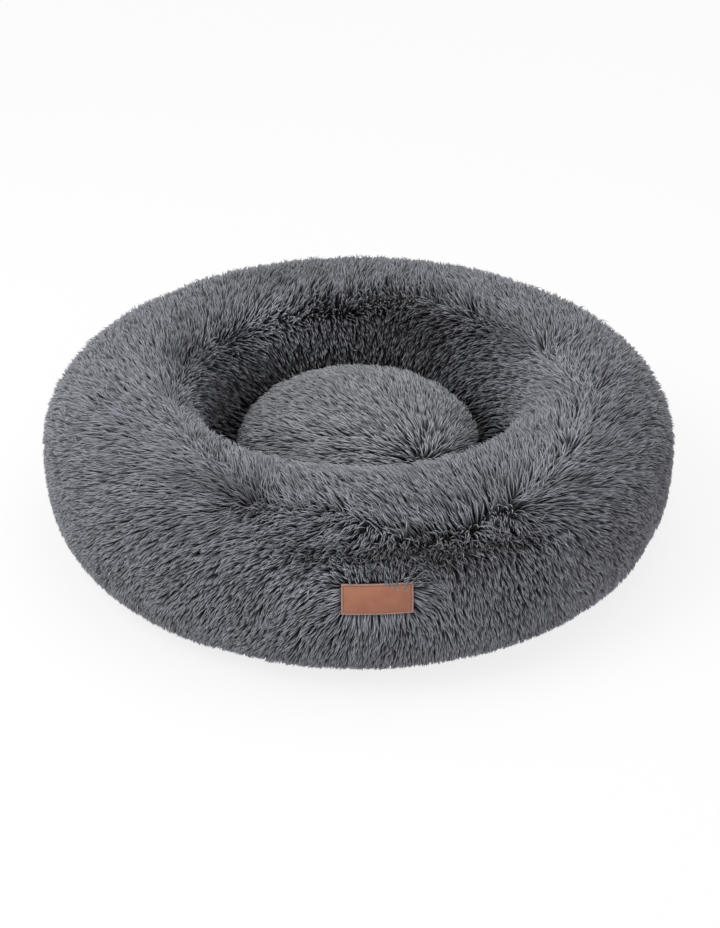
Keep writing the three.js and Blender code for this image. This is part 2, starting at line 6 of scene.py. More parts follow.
import bpy
import numpy as np
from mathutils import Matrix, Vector


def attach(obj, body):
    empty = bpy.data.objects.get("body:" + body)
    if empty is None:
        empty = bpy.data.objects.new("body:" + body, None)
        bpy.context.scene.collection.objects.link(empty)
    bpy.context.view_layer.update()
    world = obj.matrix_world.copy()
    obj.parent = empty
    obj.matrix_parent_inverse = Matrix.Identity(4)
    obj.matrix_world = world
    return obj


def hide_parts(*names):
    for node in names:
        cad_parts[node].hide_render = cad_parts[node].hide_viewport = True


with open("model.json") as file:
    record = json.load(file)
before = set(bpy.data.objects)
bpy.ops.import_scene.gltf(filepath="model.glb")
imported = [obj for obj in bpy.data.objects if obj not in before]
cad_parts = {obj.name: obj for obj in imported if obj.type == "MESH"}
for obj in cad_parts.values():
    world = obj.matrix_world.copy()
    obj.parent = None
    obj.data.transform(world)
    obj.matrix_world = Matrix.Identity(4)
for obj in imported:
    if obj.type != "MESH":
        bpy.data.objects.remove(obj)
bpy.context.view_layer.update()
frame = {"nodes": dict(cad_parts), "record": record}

bl_info = {
    "name": "Donut Pet Bed",
    "version": (1, 0, 0),
    "blender": (4, 5, 0),
    "location": "View3D > Sidebar > Pet Bed",
    "description": "Builds a round plush pet bed with its pile, cushion, patch, base and zip",
    "category": "Object",
}

SEED = 41

# How square each quarter of the rim's section is: 2 is an ellipse
OUTER_CROWN_POWER = 2.36
INNER_CROWN_POWER = 2.14
SKIRT_POWER = 2.66
BOWL_POWER = 2.2

# The crest seam, in degrees of the rim's section: 0 at its widest, 90 at the crest, 180 at the throat
SEAM_MIDDLE = 106.0
SEAM_SWING = 41.7
SEAM_OUTERMOST_BEARING = -61.0
SEAM_SECOND_SWING = 10.3
SEAM_SECOND_BEARING = 14.0
GROOVE_WIDTH = 15.0
PUCKER_WIDTH = 20.0
PUCKER_TURN = 7.0
PUCKER_FILL = 0.6
PUCKERS = (-112.5, -66.0, -22.5, 18.0, 52.5, 94.0, 135.0, 192.0)
UPRIGHT_WIDTH = 4.0
PANELS = {"front": (-112.5, -22.5), "right": (-22.5, 52.5), "back": (52.5, 135.0), "left": (135.0, 247.5)}

# Where the lip's crease stays open: bearing and half width round the ring, half width of its line, depth in metres
CREASE_BEARING = -137.0
CREASE_REACH = 25.0
CREASE_WIDTH = 5.5
CREASE_DEPTH = 0.009

# Where the pile parts away from the seam: bearing, degrees off it, half width in degrees
PARTING_DRIFTS = (
    (-94.0, 8.5, 8.0), (-76.5, -14.0, 6.5), (-62.0, 4.5, 7.0), (-45.0, 9.5, 7.0), (-33.0, 7.0, 7.0),
    (-22.0, 3.5, 7.0), (73.0, -17.0, 14.0), (104.0, -8.0, 6.0),
)

# How the parting waves to and fro where it is soft: degrees, waves round the ring, phase in degrees
PARTING_WANDER = ((2.6, 11, 0), (2.0, 23, 60))

# Where the parting is crisp: bearing, half width in degrees, and how much less its pile is mixed
CRISP_BEARING = -75.0
CRISP_REACH = 62.0
CRISPNESS = 0.7

# Whorls of the pile at the gathers: bearing, section angle, reach in metres, strength
WHORLS = (
    (-113.0, 75.5, 0.036, 0.8), (-68.0, 50.0, 0.034, 0.7), (-58.0, 57.0, 0.038, 0.9), (-35.0, 76.0, 0.036, 1.1),
    (18.0, 108.0, 0.035, 0.8), (52.5, 120.0, 0.030, 0.8), (94.0, 134.0, 0.034, 0.6), (135.0, 142.0, 0.030, 0.7),
    (192.0, 128.0, 0.030, 0.6),
)

# How the pile is brushed: bearing, section angle, and the way it lies there, which is 0 up the outside and
# down into the well, 90 towards rising bearings and 180 down the outside
STROKES = (
    (-148, 12, -128), (-155, 85, -138), (-128, 69, -116), (-130, 26, -138), (-120, 2, -144), (-112, -15, -148),
    (-100, -15, -146), (-108, 30, -134), (-102, 57, -126), (-97, 48, -136), (-96, 18, -98), (-94, -2, -130),
    (-89, -10, -160), (-118, 98, -62), (-102, 90, -64), (-91, 94, -60), (-80, 74, -48), (-70, 77, -18),
    (-61, 80, 14), (-50, 77, 46), (-44, 68, 70), (-48, 44, 110), (-37, 44, 118), (-52, 33, 140), (-39, 24, 148),
    (-33, 0, 150), (-56, 18, 168), (-46, -1, 158), (-62, 30, 184), (-68, 39, 200), (-58, -10, 168), (-71, 4, 166),
    (-72, 34, 205), (-78, 8, 125), (-86, -7, 180), (-67, -18, 174), (-90, 22, -40), (-82, 22, 10), (-88, 46, 184),
    (-81, 44, 178), (-174, 55, -128), (-163, 26, -126), (-162, 78, -138), (174, 66, -128), (170, 82, -122),
    (150, 83, -142), (135, 82, -154), (120, 87, -148), (108, 98, -154), (95, 98, -176), (138, 123, -146),
    (124, 118, -126), (111, 120, -106), (113, 142, 60), (124, 156, -38), (152, 147, -38), (110, 162, -22),
    (101, 154, 14), (92, 152, -24), (162, 116, -130), (-173, 108, -126), (-160, 112, -110), (-151, 120, -70),
    (-137, 88, -134), (-134, 112, -50), (-126, 78, -130), (-124, 100, -40), (-147, 62, -138), (89, 96, -174),
    (76, 94, -174), (66, 94, 144), (55, 88, 138), (43, 84, 130), (50, 110, 92), (37, 109, 96), (56, 130, 60),
    (26, 88, 110), (10, 88, 110), (17, 64, 132), (8, 58, 132), (-6, 74, 130), (-8, 46, 142), (-15, 30, 146),
    (-20, 70, 114), (-29, 52, 132), (-32, 72, 88), (-30, 87, 82), (-8, 109, 24), (6, 108, 60), (23, 114, 80),
    (7, 144, 52), (-28, 126, 50), (32, 138, 54), (46, 155, 24), (66, 152, 16), (84, 160, -22), (74, 169, 18),
    (22, 167, 80), (38, 172, 26),
)
STROKE_REACH = 0.034

# A stroke counts this much for the pile on the other side of the parting
ACROSS_PARTING = 0.1

# In the lists that follow, each place has its bearing and section angle, its half widths in degrees and its strength

# Folds of the front besides the seams, by their depth in metres
FOLDS = (
    (-95.5, 40.0, 6.0, 9.0, 0.004), (-86.0, 37.0, 6.0, 9.0, 0.0045), (-77.0, 37.0, 6.0, 10.0, 0.005),
    (-67.5, 34.0, 7.0, 10.0, 0.006),
)

# Where the pile stands up on the front lip, by how far in metres
FRONT_LIP = ((-88.0, 124.0, 72.0, 30.0, 0.0055),)

# Where the pile is matted, short and upright, and darker with painted shade
MATTED = (
    (-96.0, 38.0, 6.0, 9.0, 1.0), (-87.0, 34.0, 6.0, 10.0, 1.0), (-79.0, 40.0, 5.0, 9.0, 1.0),
    (-73.0, 33.0, 6.0, 12.0, 1.0), (-65.0, 35.0, 6.0, 8.0, 1.0), (-59.0, 29.0, 5.0, 8.0, 1.0),
    (103.0, 128.0, 5.0, 12.0, 0.5), (82.0, 128.0, 7.0, 16.0, 0.45), (70.0, 136.0, 5.0, 14.0, 0.6),
    (59.0, 145.0, 5.0, 20.0, 0.6), (45.0, 131.0, 6.0, 10.0, 0.3),
)

# Painted light and shade: where the pile is made lighter or darker to stand in for how light falls on it
PAINTED_LIGHT_AND_SHADE = (
    (122.0, 105.0, 28.0, 30.0, -0.16), (-22.0, 8.0, 28.0, 30.0, -0.28),
    (-86.0, 32.0, 13.0, 12.0, -0.2), (105.0, 85.0, 45.0, 25.0, -0.09), (-172.0, 45.0, 42.0, 40.0, 0.07),
    (-100.0, -10.0, 35.0, 25.0, 0.06), (-56.0, 50.0, 5.0, 8.0, -0.16), (-47.0, 56.0, 4.0, 7.0, -0.12),
    (-115.0, 75.0, 14.0, 13.0, -0.34), (-72.0, 65.0, 13.0, 8.0, -0.36), (-56.0, 72.0, 8.0, 9.0, -0.18),
    (-57.0, 28.0, 5.0, 8.0, 0.35), (-97.0, 12.0, 6.0, 20.0, 0.22), (-76.0, -7.0, 4.0, 8.0, 0.22),
    (-83.0, 38.0, 7.0, 14.0, -0.2), (-28.0, 65.0, 8.0, 15.0, -0.12), (65.0, 108.0, 16.0, 11.0, -0.3),
    (32.0, 123.0, 14.0, 17.0, -0.48), (116.0, 148.0, 20.0, 20.0, 0.65), (126.0, 128.0, 13.0, 9.0, 0.4),
    (166.0, 124.0, 13.0, 19.0, -0.52), (150.0, 100.0, 8.0, 8.0, -0.18),
)

# Where locks lie over the patch, which is most at its upper right corner
OVER_PATCH = ((-79.8, 20.0, 2.6, 6.5, 0.95), (-84.5, 23.0, 3.0, 4.0, 0.25), (-91.5, 23.0, 2.5, 4.0, 0.2))

# How a lock on the rim changes by its place, as in lock_places(): how far it lies over, how deep its tip is and how
# wide it is, each as a share more or less, how far it strays from its comb direction, in radians, how much lighter
# it is, which is painted shade in the well, along the crease and in the matted pile and painted light on the well's
# sides and by the patch, and how much light its root gets
LAY_BY_PLACE = {"mixed": -0.5, "well": -0.5, "well_foot": -0.8, "patch": 0.3, "matted": -0.3, "outside": -0.36}
TIP_BY_PLACE = {"matted": 0.8, "well": 0.5, "foot": -0.6}
GIRTH_BY_PLACE = {"foot": -0.12, "patch": -0.2}
STRAY_BY_PLACE = {"parting": 0.1, "mixed": 0.25, "matted": 0.5}
TONE_BY_PLACE = {"well_wall_shade": -0.5, "matted": -0.42, "well_side_light": 0.25, "crease_shade": -0.25, "patch": 0.08}
BARE_BY_PLACE = {"open_parting": 0.42, "patch": 0.55, "matted": -0.45}
BAREST = 0.6

# Section angles between which each of these places begins
OUTSIDE = (60, 20)
FOOT = (35, 0)
WELL = (112, 137)
WELL_WALL = (114, 146)
WELL_DEEP = (150, 175)

# Where the painted shade on the well's wall is darkest, how dark it is elsewhere as a share of that, and how much less
# so deep down
WELL_SHADE_BEARING = 95.0
WELL_SHADE_ELSEWHERE = 0.04
WELL_SHADE_FADE = 0.6

# The well's sides, which painted light makes lighter: their bearings and half widths in degrees
LIT_WELL_SIDES = ((12.0, 38.0), (-172.0, 42.0))

# How far the parting, the crease and the patch reach into the pile, in metres, and how much less the patch does above
PARTING_REACH = 0.012
CREASE_LINE = 0.009
PATCH_REACH = 0.008
LESS_ABOVE_PATCH = 0.75

# How far locks of one side stray over the parting, in degrees: all along it, where it is soft and where it is matted
MIXED = 2.0
MIXED_SOFT = 4.5
MIXED_MATTED = 6.0

# How far the pile at the foot of the well stands out over its floor, and the lowest that any lock hangs
WELL_FRINGE = 0.014
LOWEST = 0.0008

# How locks are shaken off their even places along a row and across it, as shares of the distance between them
ALONG_ROW = 0.42
ACROSS_ROW = 0.45

# Locks are sparse where they are hidden: this near to the rim's foot, and this far down from the well's throat
NEAR_FOOT = 0.012
BELOW_THROAT = 0.02
THROAT_ANGLE = 178.0

# Smooth waves of the comb direction, in radians, of how far the locks lie over and of how matted they are, as shares:
# how much and over what wavelength in metres
RIM_WANDER = ((0.16, 0.055), (0.14, 0.014))
CUSHION_WANDER = ((0.16, 0.05), (0.14, 0.014))
LAY_WAVES = ((0.12, 0.08),)
MATTED_WAVES = ((0.35, 0.028),)
MATTED_LEAST = 0.4

# How far a lock strays from its comb direction, in radians, and less by the patch as a share; and the few locks that
# stray more and stand out by this much
STRAY = 0.12
STRAY_LESS_BY_PATCH = 0.6
FEW = 0.03
FEW_STRAY = 0.6
FEW_PROUD = 0.0015

# How far the clumps differ in depth, how proud the highest ones are, and how far the tips in a clump differ
CLUMP_DEPTH = 0.0054
CLUMP_PROUD = 0.0006
TIP_SPREAD = 0.0012

# The least and the most that a lock lies over and is wide, as shares of the pile's
RIM_LAYS = (0.8, 1.15)
CUSHION_LAYS = (0.78, 1.12)
GIRTHS = (0.72, 1.25)

# Tones: the wavelength of their slow waves in metres, the clump that they don't change, and how much wider they spread
# where the pile is matted
TONE_WAVELENGTH = 0.05
MIDDLING_CLUMP = 0.4
MATTED_TONE_SPREAD = 0.08

# The patch's place round the ring, how far the pile grows in under its edges, and the share of that where locks stay
PATCH_BEARING = -86.9
PATCH_TUCK = 0.008
TUCK_GROWN = 0.8

# How strongly the pile is combed away from the patch, and how far each pull reaches; how deep its tips are pressed
PATCH_PULLS = ((3.0, 0.009), (1.5, 0.02))
PATCH_PRESS = 0.0034
PRESS_REACH = 0.009

# How far beyond the patch's edge a lock that lies over it has its root: the least, the usual and give or take; and how
# proud its tip stands
OVER_LEAST = 0.005
OVER_USUAL = 0.01
OVER_SPREAD = 0.006
OVER_PROUD = 0.001

# How far in the patch's edges are rounded, how deep and wide the line in it is pressed, and how far its face sinks
# inside that line
PATCH_ROUNDING = 0.0009
PRESSED_DEPTH = 0.0006
PRESSED_WIDTH = 0.0006
FACE_SINK = 0.0002

# Where the cushion's pile is gathered and how far the gather reaches; how much more locks stray there, how much less
# they lie over and how bare their roots are; and how much lighter painted light makes the front, and how far from the
# middle it is so
CUSHION_GATHER = np.array((0.079, -0.089, 0.126))
CUSHION_GATHER_REACH = 0.018
GATHER_STRAY = 0.5
GATHER_LESS_LAY = 0.4
GATHER_BARE = 0.4
CUSHION_FRONT_PAINTED_LIGHT = 0.23
CUSHION_FRONT = 0.1

# How far the cushion's seam and its puckers reach, in degrees of its section
CUSHION_SEAM_REACH = 9.0
CUSHION_PUCKER_REACH = 17.0

# A lock's spine at each step: share of its length, how far it leans over, how far it rises and how far it is drawn to
# its clump; and its width there, its thickness as a share of its width and which step is its tip
LOCK_STEPS = np.array((0.0, 0.4, 0.75, 1.0))
LOCK_LEAN = np.array((0.0, 0.27, 0.63, 1.0))
LOCK_RISE = np.array((0.0, 0.57, 0.89, 1.0))
LOCK_PULL = LOCK_STEPS**1.5
LOCK_GIRTH = (0.62, 1.0, 0.66)
LOCK_FLATNESS = 0.62
TIP = len(LOCK_STEPS) - 1

# The plush backings: degrees between their rows, and how far they stop short of the upright and the crest seam
BACKING_TURN = 2.5
UPRIGHT_GAP = 0.05
CREST_GAP = 0.3

# The loose fibre: how finely it is meshed, and its lumps with their size and depth, in metres
RIM_VOXEL = 0.007
CUSHION_VOXEL = 0.005
RIM_LUMPS = ((0.045, 0.006), (0.014, 0.003))
CUSHION_LUMPS = ((0.03, 0.004), (0.009, 0.002))

# Ruffles of the bag: how deep, their size, and the heights between which they begin
BAG_RUFFLE = 0.0001
BAG_RUFFLE_SIZE = 0.05
BAG_RUFFLE_FROM = (0.012, 0.032)

# Ripples of the well's floor: how high and their size
FLOOR_RIPPLE = 0.0009
FLOOR_RIPPLE_SIZE = 0.09

# The base: half the gap between its halves, how wide the outermost rings of its cloth and of the well's floor are, and
# how high its binding hangs over the ground
HALF_GAP = 0.00015
BASE_HEM = 0.004
FLOOR_HEM = 0.003
BINDING_LIFT = 0.0003

# The grip dots: how far one reaches into the cloth, and how far they stay from the zip, the slope and the edge
DOT_ROOT = 0.0002
DOTS_FROM_ZIP = 0.006
DOTS_FROM_SLOPE = 0.003
DOTS_FROM_EDGE = 0.010

# The base's stitches: the size of one and how far it is drawn in; the ring's distance from the edge, first stitch and
# pitch, both in degrees; and the rows' distance from the zip's opening, how far they run past it, and their pitch
STITCH = (0.0028, 0.0006, 0.0005)
STITCH_SINK = 0.00006
RING_FROM_EDGE = 0.0032
RING_FIRST = 0.6
RING_PITCH = 0.84
ROW_FROM_SLOT = 0.0025
ROW_PAST_SLOT = 0.003
ROW_PITCH = 0.004

# The zip: its tapes' thickness, the section of the cord that the teeth sit on, the sizes of a tooth and of an end's
# tab, how far cord and teeth are from the middle line, and how high the tabs lie over the tapes' middle
TAPE_THICKNESS = 0.0008
CORD = (0.0008, 0.0024)
CORD_FROM_MIDDLE = 0.0038
TOOTH = (0.003, 0.0027, 0.0024)
TOOTH_FROM_MIDDLE = 0.00225
TAB = (0.009, 0.016, 0.0006)
TAB_LIFT = 0.0008

# The stage: the floor's colour, how bright it looks by the bed, and how far off it turns white; the world's light;
# each lamp's name, place, size and power, and where they aim; and the camera's sensor, shift and aim
WHITE = (1.0, 1.0, 1.0, 1.0)
FLOOR_COLOUR = (0.86, 0.86, 0.86, 1.0)
FLOOR_GLOW = 0.82
FLOOR_FADE = (0.6, 4.0)
WORLD_LIGHT = 0.5
LAMPS = (
    ("key", (-1.7, -0.7, 2.2), 1.6, 42.0), ("top", (0.4, 0.3, 2.6), 2.0, 24.0), ("front", (0.9, -2.4, 1.3), 1.6, 7.0),
)
LAMP_AIM = Vector((0, 0, 0.08))
SENSOR_WIDTH = 36.0
LENS_SHIFT = (0.0016, -0.0158)
CAMERA_AIM = Vector((0, 0, 0.085))

# The pile's UVs: along a lock from root to tip, and up by the tone, in this many rows; where along it the middle and
# the tip colour come in; how bright the darkest tone is and how much brighter the lightest; and its hairs: how many
# along it and across it, how far apart they are from row to row, their contrast and how bright the darkest is
BAKE_UV = "OFBake"
TONE_ROWS = 32
ROOT_TO_MIDDLE = (0.05, 0.62)
MIDDLE_TO_TIP = (0.45, 0.98)
DARKEST_TONE = 0.4
TONE_RANGE = 1.2
HAIRS_ALONG = 1.6
HAIRS_ACROSS = 4.5
HAIRS_APART = 9.7
HAIR_CONTRAST = 0.9
DARKEST_HAIR = 0.55

# The patch's UVs: from its edge inwards, up to this far, and up; and where on that way in its pale edge ends and its
# dark line begins and ends
PATCH_UV = "Edge"
PATCH_EDGE_REACH = 0.0075
PALE_EDGE_ENDS = (0.26, 0.36)
LINE_BEGINS = (0.24, 0.30)
LINE_ENDS = (0.36, 0.44)


# Sizes and colours that a user would change

def length(name, description, default):
    """A property for a length in metres."""
    return bpy.props.FloatProperty(name=name, description=description, default=default, min=0.0, unit="LENGTH")


def share(name, description, default):
    """A property for a share of something."""
    return bpy.props.FloatProperty(name=name, description=description, default=default, min=0.0, subtype="FACTOR")


def colour(name, description, default):
    """A property for a colour."""
    return bpy.props.FloatVectorProperty(
        name=name, description=description, default=default, size=3, min=0.0, max=1.0, subtype="COLOR")


class PETBED_PG_rim(bpy.types.PropertyGroup):
    diameter: length("Diameter", "Across the bed, over the tips of the pile", 0.7)
    height: length("Height", "From the floor to the crest of the rim", 0.19)
    widest_height: length("Widest height", "Height of the rim's widest line", 0.105)
    crest_radius: length("Crest radius", "Radius of the crest", 0.238)
    throat_radius: length("Throat radius", "Radius of the well at its throat", 0.171)
    well_foot_radius: length("Well foot radius", "Radius of the well at its foot", 0.152)
    well_foot_height: length("Well foot height", "Height of the well's foot", 0.0103)
    foot_radius: length("Foot radius", "Radius of the rim's foot", 0.277)
    foot_height: length("Foot height", "Height of the rim's foot off the floor", 0.0015)
    wall_depth: length("Wall depth", "From the tips of the pile to the back of its cloth", 0.02)
    groove_depth: length("Groove depth", "How deep the crest seam lies", 0.006)
    pucker_depth: length("Pucker depth", "How deep each gather of the seam lies", 0.012)
    upright_depth: length("Upright seam depth", "How deep the upright seams lie", 0.003)


class PETBED_PG_cushion(bpy.types.PropertyGroup):
    radius: length("Radius", "Radius of the cushion over its pile", 0.137)
    seam_height: length("Seam height", "Height of the seam off the floor", 0.092)
    crown_height: length("Crown height", "Height of the crown off the floor", 0.162)
    bottom_height: length("Bottom height", "Height of the underside off the floor", 0.016)
    flat_radius: length("Flat radius", "Radius of the flat middle of the underside", 0.096)
    cloth: length("Cloth", "Thickness of the underside's cloth", 0.002)
    pile_depth: length("Pile depth", "From the tips of the pile to the back of its cloth", 0.018)
    seam_depth: length("Seam depth", "How far the seam is drawn in", 0.003)
    gathers: bpy.props.IntProperty(name="Gathers", description="Gathers round the seam", default=15, min=3)
    gather_depth: length("Gather depth", "Depth of each gather", 0.0015)


class PETBED_PG_pile(bpy.types.PropertyGroup):
    spacing: length("Spacing", "Distance between locks", 0.00288)
    hidden_spacing: length("Hidden spacing", "Distance between locks by the foot and down in the well", 0.0048)
    lay: length("Lay", "How far a lock lies over", 0.021)
    depth: length("Depth", "From the tips of the pile to its cloth", 0.016)
    girth: length("Girth", "Width of a lock at its widest", 0.0023)
    clump: length("Clump", "Size of the clumps that locks gather in", 0.0052)
    gather: share("Gather", "How far a lock's tip is drawn to its clump", 0.7)


class PETBED_PG_patch(bpy.types.PropertyGroup):
    width: length("Width", "Width of the leather patch", 0.073)
    height: length("Height", "Height of the leather patch", 0.036)
    thickness: length("Thickness", "Thickness of the leather", 0.0015)
    middle_height: length("Middle height", "Height of its middle off the floor", 0.1155)
    sink: length("Sink", "How deep it lies in the pile", 0.0036)
    border: length("Border", "From its edge to the pressed line inside it", 0.0021)


class PETBED_PG_base(bpy.types.PropertyGroup):
    edge_radius: length("Edge radius", "Radius of the base cloth", 0.2704)
    outer_dish_radius: length("Outer dish radius", "Radius where the base cloth starts to rise", 0.185)
    inner_dish_radius: length("Inner dish radius", "Radius where it is as high as it gets", 0.165)
    dish_height: length("Dish height", "How far the base's middle is off the floor, over the zip", 0.008)
    top_height: length("Top height", "Height of the top of the cloth over the dish", 0.01)
    grip_height: length("Grip height", "How far the grip dots stand out of the cloth", 0.0005)
    grip_radius: length("Grip radius", "Radius of a grip dot", 0.0013)
    grip_pitch: length("Grip pitch", "Distance between grip dots", 0.012)
    slot_length: length("Slot length", "Length of the opening for the zip", 0.292)
    slot_width: length("Slot width", "Width of the opening for the zip", 0.018)
    binding_radius: length("Binding radius", "Radius of the middle of the binding", 0.2737)
    binding_width: length("Binding width", "Width of the binding", 0.006)
    binding_height: length("Binding height", "Height of the binding", 0.0056)
    floor_radius: length("Well floor radius", "Radius of the well's floor", 0.1517)
    floor_height: length("Well floor height", "Height of the underside of the well's floor", 0.0142)
    floor_cloth: length("Well floor cloth", "Thickness of the well's floor", 0.0015)
    zip_height: length("Zip height", "Height of the middle of the zip", 0.0107)
    tape_length: length("Tape length", "Length of the zip's tapes", 0.297)
    tape_width: length("Tape width", "Width of a tape", 0.0124)
    tape_from_middle: length("Tape from middle", "From the zip's middle line to a tape", 0.0036)
    tooth_pitch: length("Tooth pitch", "Distance between a row's teeth", 0.006)
    row_length: length("Row length", "Length of a row of teeth", 0.27)


class PETBED_PG_colours(bpy.types.PropertyGroup):
    # The root and middle colours, and the cushion's middle, are darker than the tip as painted shade deep in the pile
    root: colour("Pile root", "Pile colour at its root", (0.016, 0.016, 0.021))
    middle: colour("Pile middle", "Pile colour half way up", (0.068, 0.070, 0.086))
    tip: colour("Pile tip", "Pile colour at its tip", (0.33, 0.336, 0.38))
    cushion_middle: colour("Cushion pile middle", "The cushion's pile half way up", (0.073, 0.0755, 0.0875))
    cushion_tip: colour("Cushion pile tip", "The cushion's pile at its tip", (0.350, 0.355, 0.382))
    leather: colour("Leather", "Colour of the patch", (0.355, 0.128, 0.072))
    leather_gold: colour("Golden leather", "Colour of the patch where it is lightest", (0.425, 0.165, 0.088))
    leather_edge: colour("Leather edge", "Colour of the patch's raised edge", (0.37, 0.205, 0.165))
    woven: colour("Woven cloth", "Colour of the cushion's underside and the well's floor", (0.07, 0.074, 0.084))
    base: colour("Base cloth", "Colour of the base", (0.03, 0.031, 0.036))
    grip: colour("Grip dots", "Colour of the rubber dots", (0.012, 0.012, 0.014))
    binding: colour("Binding", "Colour of the base's binding", (0.02, 0.02, 0.024))
    thread: colour("Thread", "Colour of the base's stitches", (0.05, 0.051, 0.06))
    liner: colour("Liner", "Colour of the filling's bag", (0.68, 0.67, 0.63))
    fibre: colour("Fibre", "Colour of the filling", (0.85, 0.85, 0.82))
    nylon: colour("Zip nylon", "Colour of the zip's tape and teeth", (0.015, 0.015, 0.018))
    metal: colour("Zip metal", "Colour of the slider, its pull and the stops", (0.30, 0.31, 0.32))


class PETBED_PG_stage(bpy.types.PropertyGroup):
    distance: length("Camera distance", "From the camera to the middle of the bed", 2.582)
    elevation: bpy.props.FloatProperty(
        name="Camera elevation", description="Angle of the camera above the horizon", default=math.radians(30.36),
        subtype="ANGLE")
    lens: bpy.props.FloatProperty(name="Lens", description="Focal length in millimetres", default=89.3)


# Meshes

def mesh_piece(name, points, corners, sizes, material, uv=None, uv_name=BAKE_UV):
    """A mesh object from its points, the corners of its faces in a row, each face's count and the corners' UVs."""
    mesh = bpy.data.meshes.new(name)
    mesh.vertices.add(len(points))
    mesh.vertices.foreach_set("co", np.asarray(points, np.float32).ravel())
    mesh.loops.add(len(corners))
    mesh.loops.foreach_set("vertex_index", np.asarray(corners, np.int32))
    mesh.polygons.add(len(sizes))
    mesh.polygons.foreach_set("loop_start", np.concatenate([[0], np.cumsum(sizes)[:-1]]).astype(np.int32))
    mesh.polygons.foreach_set("use_smooth", np.ones(len(sizes), bool))
    mesh.update(calc_edges=True)
    if uv is not None:
        layer = mesh.uv_layers.new(name=uv_name)
        layer.uv.foreach_set("vector", np.asarray(uv, np.float32).ravel())
    mesh.materials.append(material)
    piece = bpy.data.objects.new(name, mesh)
    bpy.context.scene.collection.objects.link(piece)
    return piece


def shell(outer, inner, wrap, pole=False):
    """A closed shell between two grids of points, outer and inner, each rows by columns by 3: its points, the
    corners of its faces in a row and each face's count. Rows run round the bed, and close on themselves if wrap is
    true; if pole is true, the last column is one point."""
    rows, columns = outer.shape[:2]
    below = rows * columns
    last = columns - 1
    row = np.arange(rows if wrap else rows - 1)
    after = (row + 1) % rows
    column = np.arange(last - 1 if pole else last)
    a = (row[:, None] * columns + column).ravel()
    b = (after[:, None] * columns + column).ravel()
    faces = [np.stack([a, b, b + 1, a + 1], 1), np.stack([a, a + 1, b + 1, b], 1) + below]
    if pole:
        one, two = row * columns + last - 1, after * columns + last - 1
        tip = np.full_like(one, last)
        faces += [np.stack([one, two, tip], 1), np.stack([two, one, tip], 1) + below]
    rims = [(row * columns, after * columns, False)]
    if not pole:
        rims.append((row * columns + last, after * columns + last, True))
    if not wrap:
        rims += [(column, column + 1, True), (below - columns + column, below - columns + column + 1, False)]
    for one, two, flipped in rims:
        strip = np.stack([one, one + below, two + below, two], 1)
        faces.append(strip[:, ::-1] if flipped else strip)
    corners = np.concatenate([face.ravel() for face in faces])
    used = np.unique(corners)
    points = np.concatenate([outer.reshape(-1, 3), inner.reshape(-1, 3)])[used]
    return points, np.searchsorted(used, corners), np.concatenate([np.full(len(f), f.shape[1]) for f in faces])


def root_uv(points, corners, sizes):
    """UVs that give a cloth backing the colour of the pile's roots, which is painted shade."""
    first = np.repeat(np.cumsum(sizes) - sizes, sizes)
    turn = np.arange(len(corners)) - first
    at = points[corners[first]]
    row = np.floor(TONE_ROWS * (0.5 + 0.3 * np.sin(90 * at[:, 0]) * np.cos(80 * at[:, 1])))
    along = np.where((turn == 1) | (turn == 2), 0.04, 0.02)
    return np.stack([along, (row + np.where(turn < 2, 0.2, 0.8)) / TONE_ROWS], 1)


# Modelling by hand

def begin(add, name, **sizes):
    """A new primitive under its name, in edit mode and all selected."""
    bpy.ops.object.select_all(action="DESELECT")
    add(**sizes)
    piece = bpy.context.object
    piece.name = piece.data.name = name
    bpy.ops.object.mode_set(mode="EDIT")
    return piece


def only(piece):
    """Makes a piece the selected and active one."""
    bpy.ops.object.select_all(action="DESELECT")
    piece.select_set(True)
    bpy.context.view_layer.objects.active = piece


def smooth(piece, material, angle=40.0):
    """Gives a piece its material, and smooth shading but for edges sharper than the angle."""
    only(piece)
    bpy.ops.object.shade_smooth_by_angle(angle=math.radians(angle))
    piece.data.materials.clear()
    piece.data.materials.append(material)
    return piece


def apply(piece, kind, **settings):
    """Adds a modifier to a piece and applies it."""
    only(piece)
    made = piece.modifiers.new(kind, kind)
    for name, value in settings.items():
        setattr(made, name, value)
    bpy.ops.object.modifier_apply(modifier=made.name)


def points_of(piece):
    """The points of a piece's mesh."""
    return np.array([point.co for point in piece.data.vertices])


def move_points(piece, points):
    """Moves the points of a piece's mesh to new places."""
    piece.data.vertices.foreach_set("co", np.asarray(points, np.float32).ravel())
    piece.data.update()


def turned(name, rings, around):
    """A skin turned round the middle of the bed through rings of radius and height, which ends in a point and
    faces down."""
    piece = begin(bpy.ops.mesh.primitive_circle_add, name, vertices=around, radius=rings[0][0])
    bpy.ops.transform.translate(value=(0, 0, rings[0][1]))
    for (radius, height), (next_radius, next_height) in zip(rings, rings[1:]):
        bpy.ops.mesh.extrude_edges_move(TRANSFORM_OT_translate={"value": (0, 0, next_height - height)})
        if next_radius:
            bpy.ops.transform.resize(value=(next_radius / radius, next_radius / radius, 1))
        else:
            bpy.ops.mesh.merge(type="CENTER")
    bpy.ops.mesh.select_all(action="SELECT")
    bpy.ops.mesh.normals_make_consistent(inside=False)
    bpy.ops.object.mode_set(mode="OBJECT")
    if sum(face.normal.z * face.area for face in piece.data.polygons) > 0:
        piece.data.flip_normals()
    return piece


def block(name, size, place, bevel, segments=2):
    """A block with rounded edges."""
    piece = begin(bpy.ops.mesh.primitive_cube_add, name, size=1.0)
    bpy.ops.transform.resize(value=size)
    bpy.ops.transform.translate(value=place)
    bpy.ops.mesh.bevel(offset=bevel, segments=segments, affect="EDGES")
    bpy.ops.object.mode_set(mode="OBJECT")
    return piece


